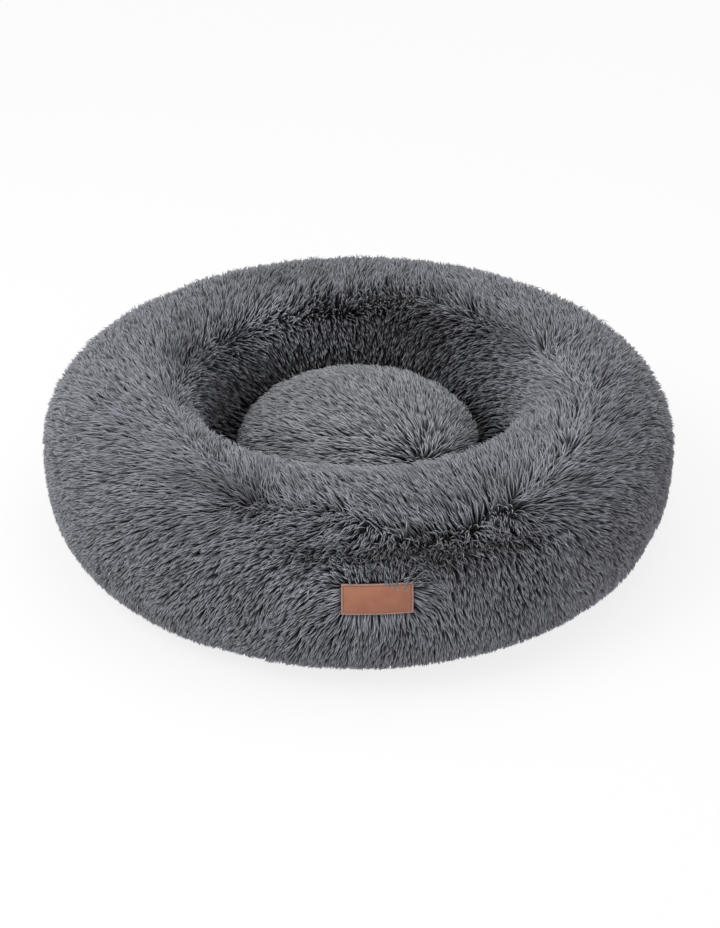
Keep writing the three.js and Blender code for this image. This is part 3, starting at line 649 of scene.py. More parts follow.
def copies(name, shape, places, turns, material):
    """One mesh of copies of a shape, each turned about the vertical and moved to its place."""
    points = points_of(shape)
    cos, sin = np.cos(turns)[:, None], np.sin(turns)[:, None]
    moved = np.stack([cos * points[:, 0] - sin * points[:, 1], sin * points[:, 0] + cos * points[:, 1],
                      np.broadcast_to(points[:, 2], (len(places), len(points)))], -1) + places[:, None]
    corner = np.concatenate([list(face.vertices) for face in shape.data.polygons])
    corners = (np.arange(len(places))[:, None] * len(points) + corner).ravel()
    sizes = np.tile([len(face.vertices) for face in shape.data.polygons], len(places))
    bpy.data.objects.remove(shape)
    return mesh_piece(name, moved.reshape(-1, 3), corners, sizes, material)


def copy_of(cad_name, name):
    """A new piece with the shape of a CAD node, its doubles merged."""
    mesh = frame["nodes"][cad_name].data.copy()
    mesh.name = name
    piece = bpy.data.objects.new(name, mesh)
    bpy.context.scene.collection.objects.link(piece)
    only(piece)
    bpy.ops.object.mode_set(mode="EDIT")
    bpy.ops.mesh.select_all(action="SELECT")
    bpy.ops.mesh.remove_doubles(threshold=0.00001)
    bpy.ops.object.mode_set(mode="OBJECT")
    return piece


def stuffed(cad_name, name, voxel, lumps, material):
    """Loose fibre in the space of its CAD node: lumps of several sizes, each sunk below the node's skin."""
    piece = copy_of(cad_name, name)
    apply(piece, "REMESH", mode="VOXEL", voxel_size=voxel)
    for size, depth in lumps:
        clouds = bpy.data.textures.new("Lumps", "CLOUDS")
        clouds.noise_scale = size
        apply(piece, "DISPLACE", texture=clouds, texture_coords="LOCAL", strength=depth, mid_level=1.0)
    return smooth(piece, material, angle=80.0)


def unit(vectors):
    """Vectors of length one in the same directions."""
    return vectors / np.maximum(np.linalg.norm(vectors, axis=-1, keepdims=True), 1e-12)


def dotted(one, two):
    """The dot product of each vector in a row with its partner in another."""
    return np.einsum("ij,ij->i", one, two)


def waves(points, wavelength, seed):
    """Smooth noise of about -1 to 1 over points, from waves of about one length in twelve directions."""
    terms = 12
    rng = np.random.default_rng(seed)
    directions = unit(rng.normal(size=(terms, 3))) * (2 * math.pi / wavelength) * rng.uniform(0.6, 1.4, (terms, 1))
    phases = rng.uniform(0, 2 * math.pi, terms)
    return np.sin(points @ directions.T + phases).sum(1) / math.sqrt(terms)


def hashed(cells, salt):
    """A number from 0 to 1 for each cell of a grid."""
    mixed = (cells[..., 0] * 73856093) ^ (cells[..., 1] * 19349663) ^ (cells[..., 2] * 83492791) ^ (salt * 2654435761)
    mixed = (mixed ^ (mixed >> 13)) * 1274126177 & 0x7FFFFFFF
    return ((mixed ^ (mixed >> 16)) & 0xFFFFFF) / 0xFFFFFF


def to_clump(points, size, salt):
    """From each point to the middle of its clump, and a number from 0 to 1 for that clump."""
    home = np.floor(points / size).astype(np.int64)
    best = np.full(len(points), np.inf)
    offset = np.zeros_like(points)
    mark = np.zeros(len(points))
    for shift in np.ndindex(3, 3, 3):
        cell = home + np.array(shift) - 1
        jitter = np.stack([hashed(cell, salt + k) for k in range(3)], 1)
        away = (cell + jitter) * size - points
        far = dotted(away, away)
        nearer = far < best
        best[nearer], offset[nearer] = far[nearer], away[nearer]
        mark[nearer] = hashed(cell, salt + 7)[nearer]
    return offset, mark


# Forms

def quarter(angle, width, height, power):
    """A quarter of a superellipse by its angle: across, up, and the direction that it faces there."""
    across = np.abs(np.cos(np.radians(angle))) ** (2 / power)
    up = np.abs(np.sin(np.radians(angle))) ** (2 / power)
    facing = unit(np.stack([across ** (power - 1) / width, up ** (power - 1) / height], -1))
    return width * across, height * up, facing


def bell(offset, width):
    """1 in the middle, falling to about a third at the width."""
    return np.exp(-((offset / width) ** 2))


def ramp(value, start, end):
    """0 up to the start, 1 from the end on, and straight between them."""
    return np.clip((value - start) / (end - start), 0, 1)


def turn_between(bearing, other):
    """The degrees from one bearing to another, from -180 to 180."""
    return (bearing - other + 180) % 360 - 180


def strength_at(places, bearing, angle):
    """The strength of listed places at a bearing and section angle."""
    return sum(much * bell(turn_between(bearing, at), wide) * bell(angle - section, high)
               for at, section, wide, high, much in places)


def seam_angle(bearing):
    """The section angle of the crest seam."""
    swing = SEAM_SWING * np.cos(np.radians(bearing - SEAM_OUTERMOST_BEARING))
    second = SEAM_SECOND_SWING * np.cos(2 * np.radians(bearing - SEAM_SECOND_BEARING))
    return SEAM_MIDDLE - swing + second


def parting_angle(bearing):
    """The section angle at which the pile parts, on the crest seam or a little off it."""
    drift = sum(by * bell(turn_between(bearing, at), width) for at, by, width in PARTING_DRIFTS)
    waving = sum(by * np.sin(np.radians(times * bearing + phase)) for by, times, phase in PARTING_WANDER)
    return seam_angle(bearing) + drift + soft_parting(bearing) * waving


def soft_parting(bearing):
    """How upright and mixed the pile is at the parting, which is crisp only at the front."""
    return 1 - CRISPNESS * bell(turn_between(bearing, CRISP_BEARING), CRISP_REACH)


def round_point(bearing, radius, height):
    """The point at a bearing, a radius from the middle of the bed and a height."""
    turn = np.radians(bearing)
    return np.stack([radius * np.cos(turn), radius * np.sin(turn), height], -1)


def creased(bearing):
    """How open the lip's crease is, which is most at the front left."""
    return bell(turn_between(bearing, CREASE_BEARING), CREASE_REACH)


def gathered(bearing):
    """How near a bearing is to a gather of the crest seam."""
    return np.max([bell(turn_between(bearing, at), PUCKER_TURN) for at in PUCKERS], 0)


class RimForm:
    """The rim's skin by bearing and section angle, as the CAD model's walls have it but for the folds of the front."""

    def __init__(self, rim):
        self.rim = rim
        self.radius = rim.diameter / 2
        self.angles = np.linspace(-90, 270, 1441)
        radius, height, _ = self.section(self.angles)
        self.arcs = np.concatenate([[0], np.cumsum(np.hypot(np.diff(radius), np.diff(height)))])

    def section(self, angle):
        """Radius and height of the tips of the pile by section angle, and the direction that they face."""
        rim = self.rim
        drop = rim.widest_height - rim.well_foot_height
        inwards = (rim.throat_radius - rim.well_foot_radius) / 2
        rise = rim.height - rim.widest_height
        skirt = quarter(np.clip(angle, -90, 0), self.radius - rim.foot_radius, rim.widest_height - rim.foot_height,
                        SKIRT_POWER)
        outer = quarter(np.clip(angle, 0, 90), self.radius - rim.crest_radius, rise, OUTER_CROWN_POWER)
        inner = quarter(np.clip(angle, 90, 180), rim.crest_radius - rim.throat_radius, rise, INNER_CROWN_POWER)
        down = ramp(angle, 180, 270)
        slope = unit(np.stack([-inwards * math.pi * np.sin(math.pi * down), np.full_like(down, -drop)], -1))
        leg_facing = np.stack([slope[..., 1], -slope[..., 0]], -1)
        places = [angle < 0, angle <= 90, angle <= 180]
        radius = np.select(places, [rim.foot_radius + skirt[0], rim.crest_radius + outer[0],
                                    rim.crest_radius - inner[0]],
                           rim.well_foot_radius + inwards * (1 + np.cos(math.pi * down)))
        height = np.select(places, [rim.widest_height - skirt[1], rim.widest_height + outer[1],
                                    rim.widest_height + inner[1]], rim.widest_height - drop * down)
        facing = np.select([place[..., None] for place in places],
                           [skirt[2] * (1, -1), outer[2], inner[2] * (-1, 1)], leg_facing)
        return radius, height, facing

    def drawn_in(self, bearing, angle):
        """How far the skin is drawn in by the seams, gathers and folds."""
        rim = self.rim
        off = angle - seam_angle(bearing)
        upright = np.max([bell(turn_between(bearing, at), UPRIGHT_WIDTH) for at, _ in PANELS.values()], 0)
        on_wall = np.clip(np.cos(np.radians(angle)), 0, None)
        return (rim.groove_depth * bell(off, GROOVE_WIDTH)
                + rim.pucker_depth * gathered(bearing) * bell(off, PUCKER_WIDTH)
                + rim.upright_depth * upright * on_wall + strength_at(FOLDS, bearing, angle))

    def filled(self, bearing, angle):
        """How far the pile fills the crest seam's groove and gathers, and stands up on the front lip."""
        rim = self.rim
        off = angle - seam_angle(bearing)
        return (rim.groove_depth * bell(off, GROOVE_WIDTH) - CREASE_DEPTH * creased(bearing) * bell(off, CREASE_WIDTH)
                + PUCKER_FILL * rim.pucker_depth * gathered(bearing) * bell(off, PUCKER_WIDTH)
                + strength_at(FRONT_LIP, bearing, angle))

    def point(self, bearing, angle, depth):
        """A point below the tips of the pile by depth."""
        radius, height, facing = self.section(angle)
        inwards = depth + self.drawn_in(bearing, angle)
        return round_point(bearing, radius - facing[..., 0] * inwards, height - facing[..., 1] * inwards)

    def frame_at(self, bearing, angle, depth):
        """Unit vectors round the ring, up the section and out of the skin, from points half a degree away."""
        step = 0.5
        around = unit(self.point(bearing + step, angle, depth) - self.point(bearing - step, angle, depth))
        up = unit(self.point(bearing, np.minimum(angle + step, 270), depth)
                  - self.point(bearing, np.maximum(angle - step, -90), depth))
        return around, up, unit(np.cross(around, up))

    def arc_at(self, angle):
        """How far up the section from its foot a section angle is, in metres."""
        return np.interp(angle, self.angles, self.arcs)

    def angle_at(self, arc):
        """The section angle that is that far up the section."""
        return np.interp(arc, self.arcs, self.angles)

    def angle_at_height(self, height):
        """The section angle on the outside of the rim at a height."""
        outside = self.angles <= 90
        _, heights, _ = self.section(self.angles[outside])
        return np.interp(height, heights, self.angles[outside])


def seam_drawn_in(cushion, bearing, angle):
    """How far the cushion is drawn in at an angle above or below its seam, with its gathers."""
    gather = cushion.gather_depth * np.cos(np.radians(bearing * cushion.gathers))
    return (cushion.seam_depth + gather) * bell(angle, CUSHION_SEAM_REACH)


class DomeForm:
    """The top of the cushion: half an ellipsoid over its seam."""

    def __init__(self, cushion):
        self.cushion = cushion
        self.rise = cushion.crown_height - cushion.seam_height
        self.middle = np.array((0.0, 0.0, cushion.seam_height))
        self.axes = np.array((cushion.radius, cushion.radius, self.rise))

    def point(self, bearing, angle, depth):
        """A point below the tips of the pile by depth, at an angle above the seam."""
        across, up, facing = quarter(angle, self.cushion.radius, self.rise, 2)
        inwards = depth + seam_drawn_in(self.cushion, bearing, angle)
        radius = np.maximum(across - facing[..., 0] * inwards, 0)
        return round_point(bearing, radius, self.cushion.seam_height + up - facing[..., 1] * inwards)

    def onto(self, points, depth):
        """Points brought onto the dome, below its tips by depth, and the direction that it faces there."""
        off = points - self.middle
        on = off / np.linalg.norm(off / self.axes, axis=-1, keepdims=True)
        facing = unit(on / self.axes**2)
        bearing = np.degrees(np.arctan2(on[..., 1], on[..., 0]))
        angle = np.degrees(np.arcsin(np.clip(on[..., 2] / self.rise, -1, 1)))
        inwards = depth + seam_drawn_in(self.cushion, bearing, angle)
        return self.middle + on - facing * inwards[..., None], facing


# Pile

def model_lock():
    """One lock of pile, a three-sided tapering blade one unit long, modelled once and copied to every place.
    Its points, the step of the spine that each belongs to, its faces, and how far across each corner is."""
    bpy.ops.object.select_all(action="DESELECT")
    bpy.ops.mesh.primitive_circle_add(vertices=3, radius=0.5, fill_type="NGON")
    blade = bpy.context.object
    bpy.ops.object.mode_set(mode="EDIT")
    bpy.ops.transform.resize(value=(LOCK_GIRTH[0], LOCK_GIRTH[0], 1))
    for step in range(1, TIP + 1):
        bpy.ops.mesh.extrude_region_move(
            TRANSFORM_OT_translate={"value": (0, 0, LOCK_STEPS[step] - LOCK_STEPS[step - 1])})
        if step < TIP:
            grow = LOCK_GIRTH[step] / LOCK_GIRTH[step - 1]
            bpy.ops.transform.resize(value=(grow, grow, 1))
    bpy.ops.mesh.merge(type="CENTER")
    bpy.ops.mesh.select_all(action="SELECT")
    bpy.ops.transform.resize(value=(1, LOCK_FLATNESS, 1))
    bpy.ops.mesh.normals_make_consistent(inside=False)
    bpy.ops.object.mode_set(mode="OBJECT")
    points = points_of(blade)
    steps = np.abs(points[:, 2:] - LOCK_STEPS).argmin(1)
    side = np.round((np.degrees(np.arctan2(points[:, 1], points[:, 0])) - 90) / 120).astype(int) % 3
    faces = [list(face.vertices) for face in blade.data.polygons]
    across = []
    for face in faces:
        sides = sorted({int(side[v]) for v in face if steps[v] < TIP})
        first = sides[0] if sides != [0, 2] else 2
        across.append([0.5 if steps[v] == TIP else 0.1 if side[v] == first else 0.9 for v in face])
    bpy.data.objects.remove(blade)
    return {"points": points, "steps": steps, "faces": faces, "across": across}


def grow_locks(blade, spines, facings, girths, tones, bare):
    """Copies of the blade bent along spines, n by 4 by 3, as points, corners, face sizes and UVs.
    Where a lock is bare, light reaches its root, and its colour starts further up."""
    count = len(spines)
    along = unit(np.gradient(spines, axis=1))
    across = unit(np.cross(facings, along))
    out = np.cross(along, across)
    steps, shape = blade["steps"], blade["points"]
    points = (spines[:, steps] + across[:, steps] * (shape[:, 0] * girths[:, None])[..., None]
              + out[:, steps] * (shape[:, 1] * girths[:, None])[..., None])
    corner = np.concatenate(blade["faces"])
    corners = (np.arange(count)[:, None] * len(shape) + corner).ravel()
    sizes = np.tile([len(face) for face in blade["faces"]], count)
    row = np.floor(np.clip(tones, 0, 0.999) * TONE_ROWS)
    v = (row[:, None] + np.concatenate(blade["across"])) / TONE_ROWS
    u = bare[:, None] + (1 - bare[:, None]) * LOCK_STEPS[steps[corner]]
    return points.reshape(-1, 3), corners, sizes, np.stack([u, v], -1).reshape(-1, 2)


def plush_piece(name, backing, locks, material):
    """One piece of plush: its closed backing with all its locks."""
    points, backing_corners, backing_sizes = backing
    lock_points, corners, sizes, uv = locks
    return mesh_piece(
        name, np.concatenate([points, lock_points]), np.concatenate([backing_corners, corners + len(points)]),
        np.concatenate([backing_sizes, sizes]), material, np.concatenate([root_uv(*backing), uv]))


def scatter_row(arc, gap, count, rng):
    """Places for a row of locks round the ring, shaken off their even places: their bearings and arcs."""
    bearing = (np.arange(count) + rng.random() + rng.uniform(-ALONG_ROW, ALONG_ROW, count)) / count * 360
    return bearing, arc + rng.uniform(-ACROSS_ROW, ACROSS_ROW, count) * gap


def scatter_ring(form, pile, rng):
    """Places for locks all over the rim: bearing and section angle, spread evenly over its skin."""
    rows = []
    hidden_from = form.arc_at(THROAT_ANGLE) + BELOW_THROAT
    arc = form.arcs[0] + pile.spacing / 2
    while arc < form.arcs[-1]:
        gap = pile.spacing if NEAR_FOOT < arc < hidden_from else pile.hidden_spacing
        radius = form.section(form.angle_at(np.array(arc)))[0]
        rows.append(scatter_row(arc, gap, int(2 * math.pi * radius / gap), rng))
        arc += gap
    bearing, arcs = (np.concatenate(part) for part in zip(*rows))
    return bearing % 360 + PANELS["front"][0], form.angle_at(np.clip(arcs, 0, form.arcs[-1]))


def from_patch(form, patch, bearing, angle, radius):
    """The way out from under the patch at a place on the rim, up the section and round the ring, and how far
    beyond the patch's edge it lies, which is less than 0 under the patch."""
    d_up = form.arc_at(angle) - form.arc_at(form.angle_at_height(patch.middle_height))
    d_turn = np.radians(turn_between(bearing, PATCH_BEARING)) * radius
    high, wide = patch.height / 2 - PATCH_TUCK, patch.width / 2 - PATCH_TUCK
    out_up, out_turn = d_up - np.clip(d_up, -high, high), d_turn - np.clip(d_turn, -wide, wide)
    out = np.hypot(out_up, out_turn) + 1e-9
    return out_up / out, out_turn / out, out - PATCH_TUCK


def matted_at(bearing, angle):
    """How matted the pile is, from 0 to 1."""
    return np.clip(strength_at(MATTED, bearing, angle), 0, 1)


def several_waves(points, kinds, seed):
    """Smooth noise over points from waves of several strengths and lengths."""
    return sum(by * waves(points, wavelength, seed + index) for index, (by, wavelength) in enumerate(kinds))


def comb_rim(form, patch, bearing, angle, radius, points, rng):
    """Which way each lock on the rim is combed, how far it is from the patch, and how much it is above it."""
    mixed = MIXED + MIXED_SOFT * soft_parting(bearing) + MIXED_MATTED * matted_at(bearing, angle)
    outside = angle + rng.normal(0, 1, len(angle)) * mixed < parting_angle(bearing)
    up = np.where(outside, -0.05, 0.05)
    turn = np.zeros_like(up)
    for at, section, way in STROKES:
        here = form.point(np.array(float(at)), np.array(float(section)), 0.0)
        near = np.exp(-((points - here) ** 2).sum(1) / (2 * STROKE_REACH**2))
        near *= np.where(outside == (section < parting_angle(at)), 1.0, ACROSS_PARTING)
        up += near * math.cos(math.radians(way))
        turn += near * math.sin(math.radians(way))
    size = np.hypot(up, turn)
    up, turn = up / size, turn / size
    arc = form.arc_at(angle)
    for at, section, reach, strength in WHORLS:
        d_up = arc - form.arc_at(section)
        d_turn = np.radians(turn_between(bearing, at)) * radius
        far = np.hypot(d_up, d_turn) + 1e-9
        pull = strength * bell(far, reach) / far
        up, turn = up + pull * d_up, turn + pull * d_turn
    out_up, out_turn, far = from_patch(form, patch, bearing, angle, radius)
    pull = sum(strength * bell(np.maximum(far, 0), reach) for strength, reach in PATCH_PULLS)
    up, turn = up + pull * out_up, turn + pull * out_turn
    return np.arctan2(turn, up) + several_waves(points, RIM_WANDER, SEED), far, np.maximum(out_up, 0)


def tip_depths(rng, mark):
    """How deep the tips lie: the locks of a clump end together, and some clumps are under the rest."""
    return CLUMP_DEPTH * mark**1.6 - CLUMP_PROUD + rng.normal(0, TIP_SPREAD, len(mark))


def tones_of(roots, mark, seed, rng, middle, spread, wave, clump_shade):
    """Tones of locks before their places count: a middle one, a spread, slow waves, and painted shade that makes the
    lower clumps darker.
    """
    slow = wave * waves(roots, TONE_WAVELENGTH, seed)
    return middle + spread * rng.normal(size=len(mark)) + slow - clump_shade * (mark - MIDDLING_CLUMP)


def lock_places(form, bearing, angle, arc, roots, beyond, above):
    """How much each lock on the rim is in each kind of place, mostly from 0 to 1."""
    patch = bell(np.maximum(beyond, 0), PATCH_REACH) * (1 - LESS_ABOVE_PATCH * above)
    parting = bell(arc - form.arc_at(parting_angle(bearing)), PARTING_REACH)
    well = ramp(angle, *WELL)
    ruffled = np.clip(1 + several_waves(roots, MATTED_WAVES, SEED + 4), MATTED_LEAST, 1)
    shaded = np.clip(np.cos(np.radians(bearing - WELL_SHADE_BEARING)), 0, 1) ** 1.5
    shaded = WELL_SHADE_ELSEWHERE + (1 - WELL_SHADE_ELSEWHERE) * shaded
    return {
        "patch": patch,
        "matted": matted_at(bearing, angle) * (1 - patch) * ruffled,
        "parting": parting,
        "mixed": parting * soft_parting(bearing),
        "open_parting": parting * (1 - 0.5 * well),
        # Painted shade along the lip's crease
        "crease_shade": creased(bearing) * bell(arc - form.arc_at(seam_angle(bearing)), CREASE_LINE),
        "outside": ramp(angle, *OUTSIDE),
        "foot": ramp(angle, *FOOT),
        "well": well,
        "well_foot": ramp(arc - form.arcs[-1], -1.5 * WELL_FRINGE, -0.5 * WELL_FRINGE),
        # Painted shade down the well's wall
        "well_wall_shade": ramp(angle, *WELL_WALL) * (1 - WELL_SHADE_FADE * ramp(angle, *WELL_DEEP)) * shaded,
        # Painted light on the well's sides
        "well_side_light": sum(bell(turn_between(bearing, at), wide) for at, wide in LIT_WELL_SIDES) * well,
    }


def added_up(by_place, places):
    """What the places of each lock add up to."""
    return sum(by * places[name] for name, by in by_place.items())


def scaled(by_place, places):
    """How much the places of each lock scale something, one after the other."""
    return math.prod(1 + by * places[name] for name, by in by_place.items())


def grow_rim(form, patch, pile):
    """Every lock on the rim: its place, whether it is kept, its spine, facing, girth and tone, and how bare it is."""
    rng = np.random.default_rng(SEED)
    bearing, angle = scatter_ring(form, pile, rng)
    count, arc = len(bearing), form.arc_at(angle)
    roots = form.point(bearing, angle, pile.depth)
    radius = form.section(angle)[0]
    around, up, facing = form.frame_at(bearing, angle, pile.depth)
    heading, beyond, above = comb_rim(form, patch, bearing, angle, radius, roots, rng)
    places = lock_places(form, bearing, angle, arc, roots, beyond, above)
    stray = (STRAY + added_up(STRAY_BY_PLACE, places)) * (1 - STRAY_LESS_BY_PATCH * places["patch"])
    heading += rng.normal(0, 1, count) * stray
    chance = bell(beyond - OVER_USUAL, OVER_SPREAD) * strength_at(OVER_PATCH, bearing, angle)
    over_patch = (beyond > OVER_LEAST) & (chance > rng.random(count))
    heading[over_patch] += math.pi
    lay = pile.lay * rng.uniform(*RIM_LAYS, count) * (1 + several_waves(roots, LAY_WAVES, SEED + 2))
    lay *= scaled(LAY_BY_PLACE, places)
    few = rng.random(count) < FEW
    heading[few] += rng.normal(0, FEW_STRAY, few.sum())
    offset, mark = to_clump(roots, pile.clump, SEED)
    lean_up, lean_turn = lay * np.cos(heading), lay * np.sin(heading)
    pull_up, pull_turn = pile.gather * dotted(offset, up), pile.gather * dotted(offset, around)
    arcs = arc[:, None] + LOCK_LEAN * lean_up[:, None] + LOCK_PULL * pull_up[:, None]
    turns = LOCK_LEAN * lean_turn[:, None] + LOCK_PULL * pull_turn[:, None]
    bearings = bearing[:, None] + np.degrees(turns / np.maximum(radius, 0.05)[:, None])
    angles = form.angle_at(np.clip(arcs, 0, form.arcs[-1]))
    tip_depth = tip_depths(rng, mark) * (1 + added_up(TIP_BY_PLACE, places)) + PATCH_PRESS * bell(beyond, PRESS_REACH)
    tip_depth[few] -= FEW_PROUD * (1 - places["foot"][few])
    tip_depth[over_patch] = -OVER_PROUD
    tip_depth -= WELL_FRINGE * places["well_foot"] * rng.uniform(0.5, 1.0, count)
    depths = pile.depth - LOCK_RISE * (pile.depth - tip_depth)[:, None] - LOCK_RISE * form.filled(bearings, angles)
    spines = form.point(bearings, angles, depths)
    spines[..., 2] = np.maximum(spines[..., 2], LOWEST)
    tones = tones_of(roots, mark, SEED + 3, rng, middle=0.53, spread=0.11 + MATTED_TONE_SPREAD * places["matted"],
                     wave=0.06, clump_shade=0.28)
    # Painted shade and light by place, and from the listed places of painted light and shade
    tones += added_up(TONE_BY_PLACE, places) + strength_at(PAINTED_LIGHT_AND_SHADE, bearing, angle)
    return {"bearing": bearing, "angle": angle, "keep": beyond > -TUCK_GROWN * PATCH_TUCK,
            "spine": spines, "facing": np.broadcast_to(facing[:, None], spines.shape),
            "girth": pile.girth * rng.uniform(*GIRTHS, count) * scaled(GIRTH_BY_PLACE, places),
            "tone": tones, "bare": np.clip(added_up(BARE_BY_PLACE, places), 0, BAREST)}


def grow_cushion(form, pile):
    """Every lock on the cushion, combed away from the gather near its front."""
    rng = np.random.default_rng(SEED + 20)
    angles = np.linspace(0, 90, 721)
    profile = form.point(np.zeros_like(angles), angles, 0.0)
    arcs = np.concatenate([[0], np.cumsum(np.linalg.norm(np.diff(profile, axis=0), axis=1))])
    rows = []
    for arc in np.arange(pile.spacing / 2, arcs[-1], pile.spacing):
        across = form.cushion.radius * math.cos(math.radians(float(np.interp(arc, arcs, angles))))
        rows.append(scatter_row(arc, pile.spacing, max(int(2 * math.pi * across / pile.spacing), 1), rng))
    bearing, places = (np.concatenate(part) for part in zip(*rows))
    angle = np.interp(np.clip(places, 0, arcs[-1]), arcs, angles)
    roots = form.point(bearing, angle, pile.depth)
    surface, facing = form.onto(form.point(bearing, angle, 0.0), 0.0)
    away = roots - CUSHION_GATHER
    away -= facing * dotted(away, facing)[:, None]
    at_gather = bell(np.linalg.norm(away, axis=1), CUSHION_GATHER_REACH)
    away = unit(away)
    side = np.cross(facing, away)
    count = len(bearing)
    heading = (rng.normal(0, 1, count) * (STRAY + GATHER_STRAY * at_gather)
               + several_waves(roots, CUSHION_WANDER, SEED + 21))
    lay = pile.lay * rng.uniform(*CUSHION_LAYS, count) * (1 - GATHER_LESS_LAY * at_gather)
    offset, mark = to_clump(roots, pile.clump, SEED + 20)
    offset -= facing * dotted(offset, facing)[:, None]
    lean = (away * np.cos(heading)[:, None] + side * np.sin(heading)[:, None]) * lay[:, None]
    moved = surface[:, None] + LOCK_LEAN[:, None] * lean[:, None] + LOCK_PULL[:, None] * pile.gather * offset[:, None]
    depths = pile.depth - LOCK_RISE * (pile.depth - tip_depths(rng, mark))[:, None]
    spines, facings = form.onto(moved, depths)
    tones = tones_of(roots, mark, SEED + 23, rng, middle=0.6, spread=0.10, wave=0.05, clump_shade=0.18)
    # Painted light on the cushion's front
    tones += CUSHION_FRONT_PAINTED_LIGHT * ramp(-roots[:, 1], 0, CUSHION_FRONT)
    return {"spine": spines, "facing": facings, "girth": pile.girth * rng.uniform(*GIRTHS, count),
            "tone": tones, "bare": GATHER_BARE * at_gather}


def locks_of(blade, grown, chosen=slice(None)):
    """The chosen ones of the grown locks, as meshes."""
    return grow_locks(blade, *(grown[key][chosen] for key in ("spine", "facing", "girth", "tone", "bare")))


def stands_for(piece, body, slot, *nodes):
    """Puts a piece in the place of CAD nodes, which it hides, and on their body; the slot is not used."""
    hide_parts(*nodes)
    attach(piece, body)


# Materials

def rgba(values, lift=1.0):
    """A colour with its alpha, made lighter or darker by a factor."""
    return (*(min(lift * value, 1.0) for value in values[:3]), 1.0)


def new_group(name, inputs, outputs):
    """A shader node group with its named inputs and outputs, and its two ends."""
    group = bpy.data.node_groups.new(name, "ShaderNodeTree")
    for way, sockets in (("INPUT", inputs), ("OUTPUT", outputs)):
        for socket, default in sockets.items():
            kind = {float: "NodeSocketFloat", tuple: "NodeSocketColor"}[type(default)]
            made = group.interface.new_socket(name=socket, in_out=way, socket_type=kind)
            made.default_value = default
    return group, node(group, "NodeGroupInput"), node(group, "NodeGroupOutput")


def node(tree, kind, inputs=None, **values):
    """A shader node with its properties and, by number or name, its unlinked inputs."""
    made = tree.nodes.new(kind)
    for name, value in values.items():
        setattr(made, name, value)
    for name, value in (inputs or {}).items():
        made.inputs[name].default_value = value
    return made


def calc(tree, operation, one, two=None, clamp=False):
    """A Math node on sockets or plain numbers, and its result."""
    made = node(tree, "ShaderNodeMath", operation=operation, use_clamp=clamp)
    for index, value in enumerate((one, two)):
        if value is None:
            continue
        if isinstance(value, (int, float)):
            made.inputs[index].default_value = value
        else:
            tree.links.new(value, made.inputs[index])
    return made.outputs[0]


def blend_colours(tree, factor, one, two):
    """A colour mix of sockets or plain colours."""
    made = node(tree, "ShaderNodeMix", data_type="RGBA")
    for index, value in ((0, factor), (6, one), (7, two)):
        if isinstance(value, bpy.types.NodeSocket):
            tree.links.new(value, made.inputs[index])
        else:
            made.inputs[index].default_value = value
    return made.outputs[2]


def eased(tree, value, start, end):
    """A value that runs smoothly from 0 at start to 1 at end."""
    made = node(tree, "ShaderNodeMapRange", interpolation_type="SMOOTHSTEP", inputs={1: start, 2: end})
    tree.links.new(value, made.inputs[0])
    return made.outputs[0]


def linear(tree, value, slope, start):
    """A value times a slope, from a start."""
    return calc(tree, "ADD", calc(tree, "MULTIPLY", value, slope), start)


def parts_of(tree, place):
    """The three parts of a place."""
    parts = node(tree, "ShaderNodeSeparateXYZ")
    tree.links.new(place, parts.inputs[0])
    return parts.outputs


def pile_group():
    """Colour of a lock from root to tip, whose dark root and middle are painted shade deep in the pile, by its tone
    and with fine hairs along it, from the pile's own UVs.
    """
    group, given, out = new_group(
        "Pile hairs", {"Root": (0.02, 0.02, 0.03, 1.0), "Middle": (0.1, 0.1, 0.1, 1.0), "Tip": (0.3, 0.3, 0.3, 1.0)},
        {"Color": (0.0, 0.0, 0.0, 1.0)})
    along, up, _ = parts_of(group, node(group, "ShaderNodeUVMap", uv_map=BAKE_UV).outputs[0])
    rows = calc(group, "MULTIPLY", up, float(TONE_ROWS))
    row, across = calc(group, "FLOOR", rows), calc(group, "FRACT", rows)
    low = blend_colours(group, eased(group, along, *ROOT_TO_MIDDLE), given.outputs["Root"], given.outputs["Middle"])
    full = blend_colours(group, eased(group, along, *MIDDLE_TO_TIP), low, given.outputs["Tip"])
    tone = linear(group, row, TONE_RANGE / TONE_ROWS, DARKEST_TONE)
    place = node(group, "ShaderNodeCombineXYZ")
    group.links.new(calc(group, "MULTIPLY", along, HAIRS_ALONG), place.inputs[0])
    aside = linear(group, across, HAIRS_ACROSS, calc(group, "MULTIPLY", row, HAIRS_APART))
    group.links.new(aside, place.inputs[1])
    hairs = node(group, "ShaderNodeTexNoise", noise_dimensions="2D", inputs={"Scale": 1.0, "Detail": 1.0})
    group.links.new(place.outputs[0], hairs.inputs["Vector"])
    light = calc(group, "MULTIPLY", tone, linear(group, hairs.outputs[0], HAIR_CONTRAST, DARKEST_HAIR))
    grey = node(group, "ShaderNodeCombineXYZ")
    for index in range(3):
        group.links.new(light, grey.inputs[index])
    shaded = node(group, "ShaderNodeVectorMath", operation="MULTIPLY")
    group.links.new(full, shaded.inputs[0])
    group.links.new(grey.outputs[0], shaded.inputs[1])
    group.links.new(shaded.outputs[0], out.inputs["Color"])


def new_material(name, roughness, **settings):
    """A material with its node tree and its shader, whose inputs are set by name."""
    material = bpy.data.materials.new(name)
    material.use_nodes = True
    shader = material.node_tree.nodes["Principled BSDF"]
    shader.inputs["Roughness"].default_value = roughness
    for key, value in settings.items():
        shader.inputs[key.replace("_", " ")].default_value = value
    return material, material.node_tree, shader


def pile_material(name, root, middle, tip):
    """Soft pile with a little sheen, in its three colours from root to tip."""
    material, tree, shader = new_material(name, 0.62, Sheen_Weight=0.12, Sheen_Roughness=0.4)
    hairs = node(tree, "ShaderNodeGroup", node_tree=bpy.data.node_groups["Pile hairs"])
    for key, value in (("Root", root), ("Middle", middle), ("Tip", tip)):
        hairs.inputs[key].default_value = rgba(value)
    tree.links.new(hairs.outputs["Color"], shader.inputs["Base Color"])
    return material


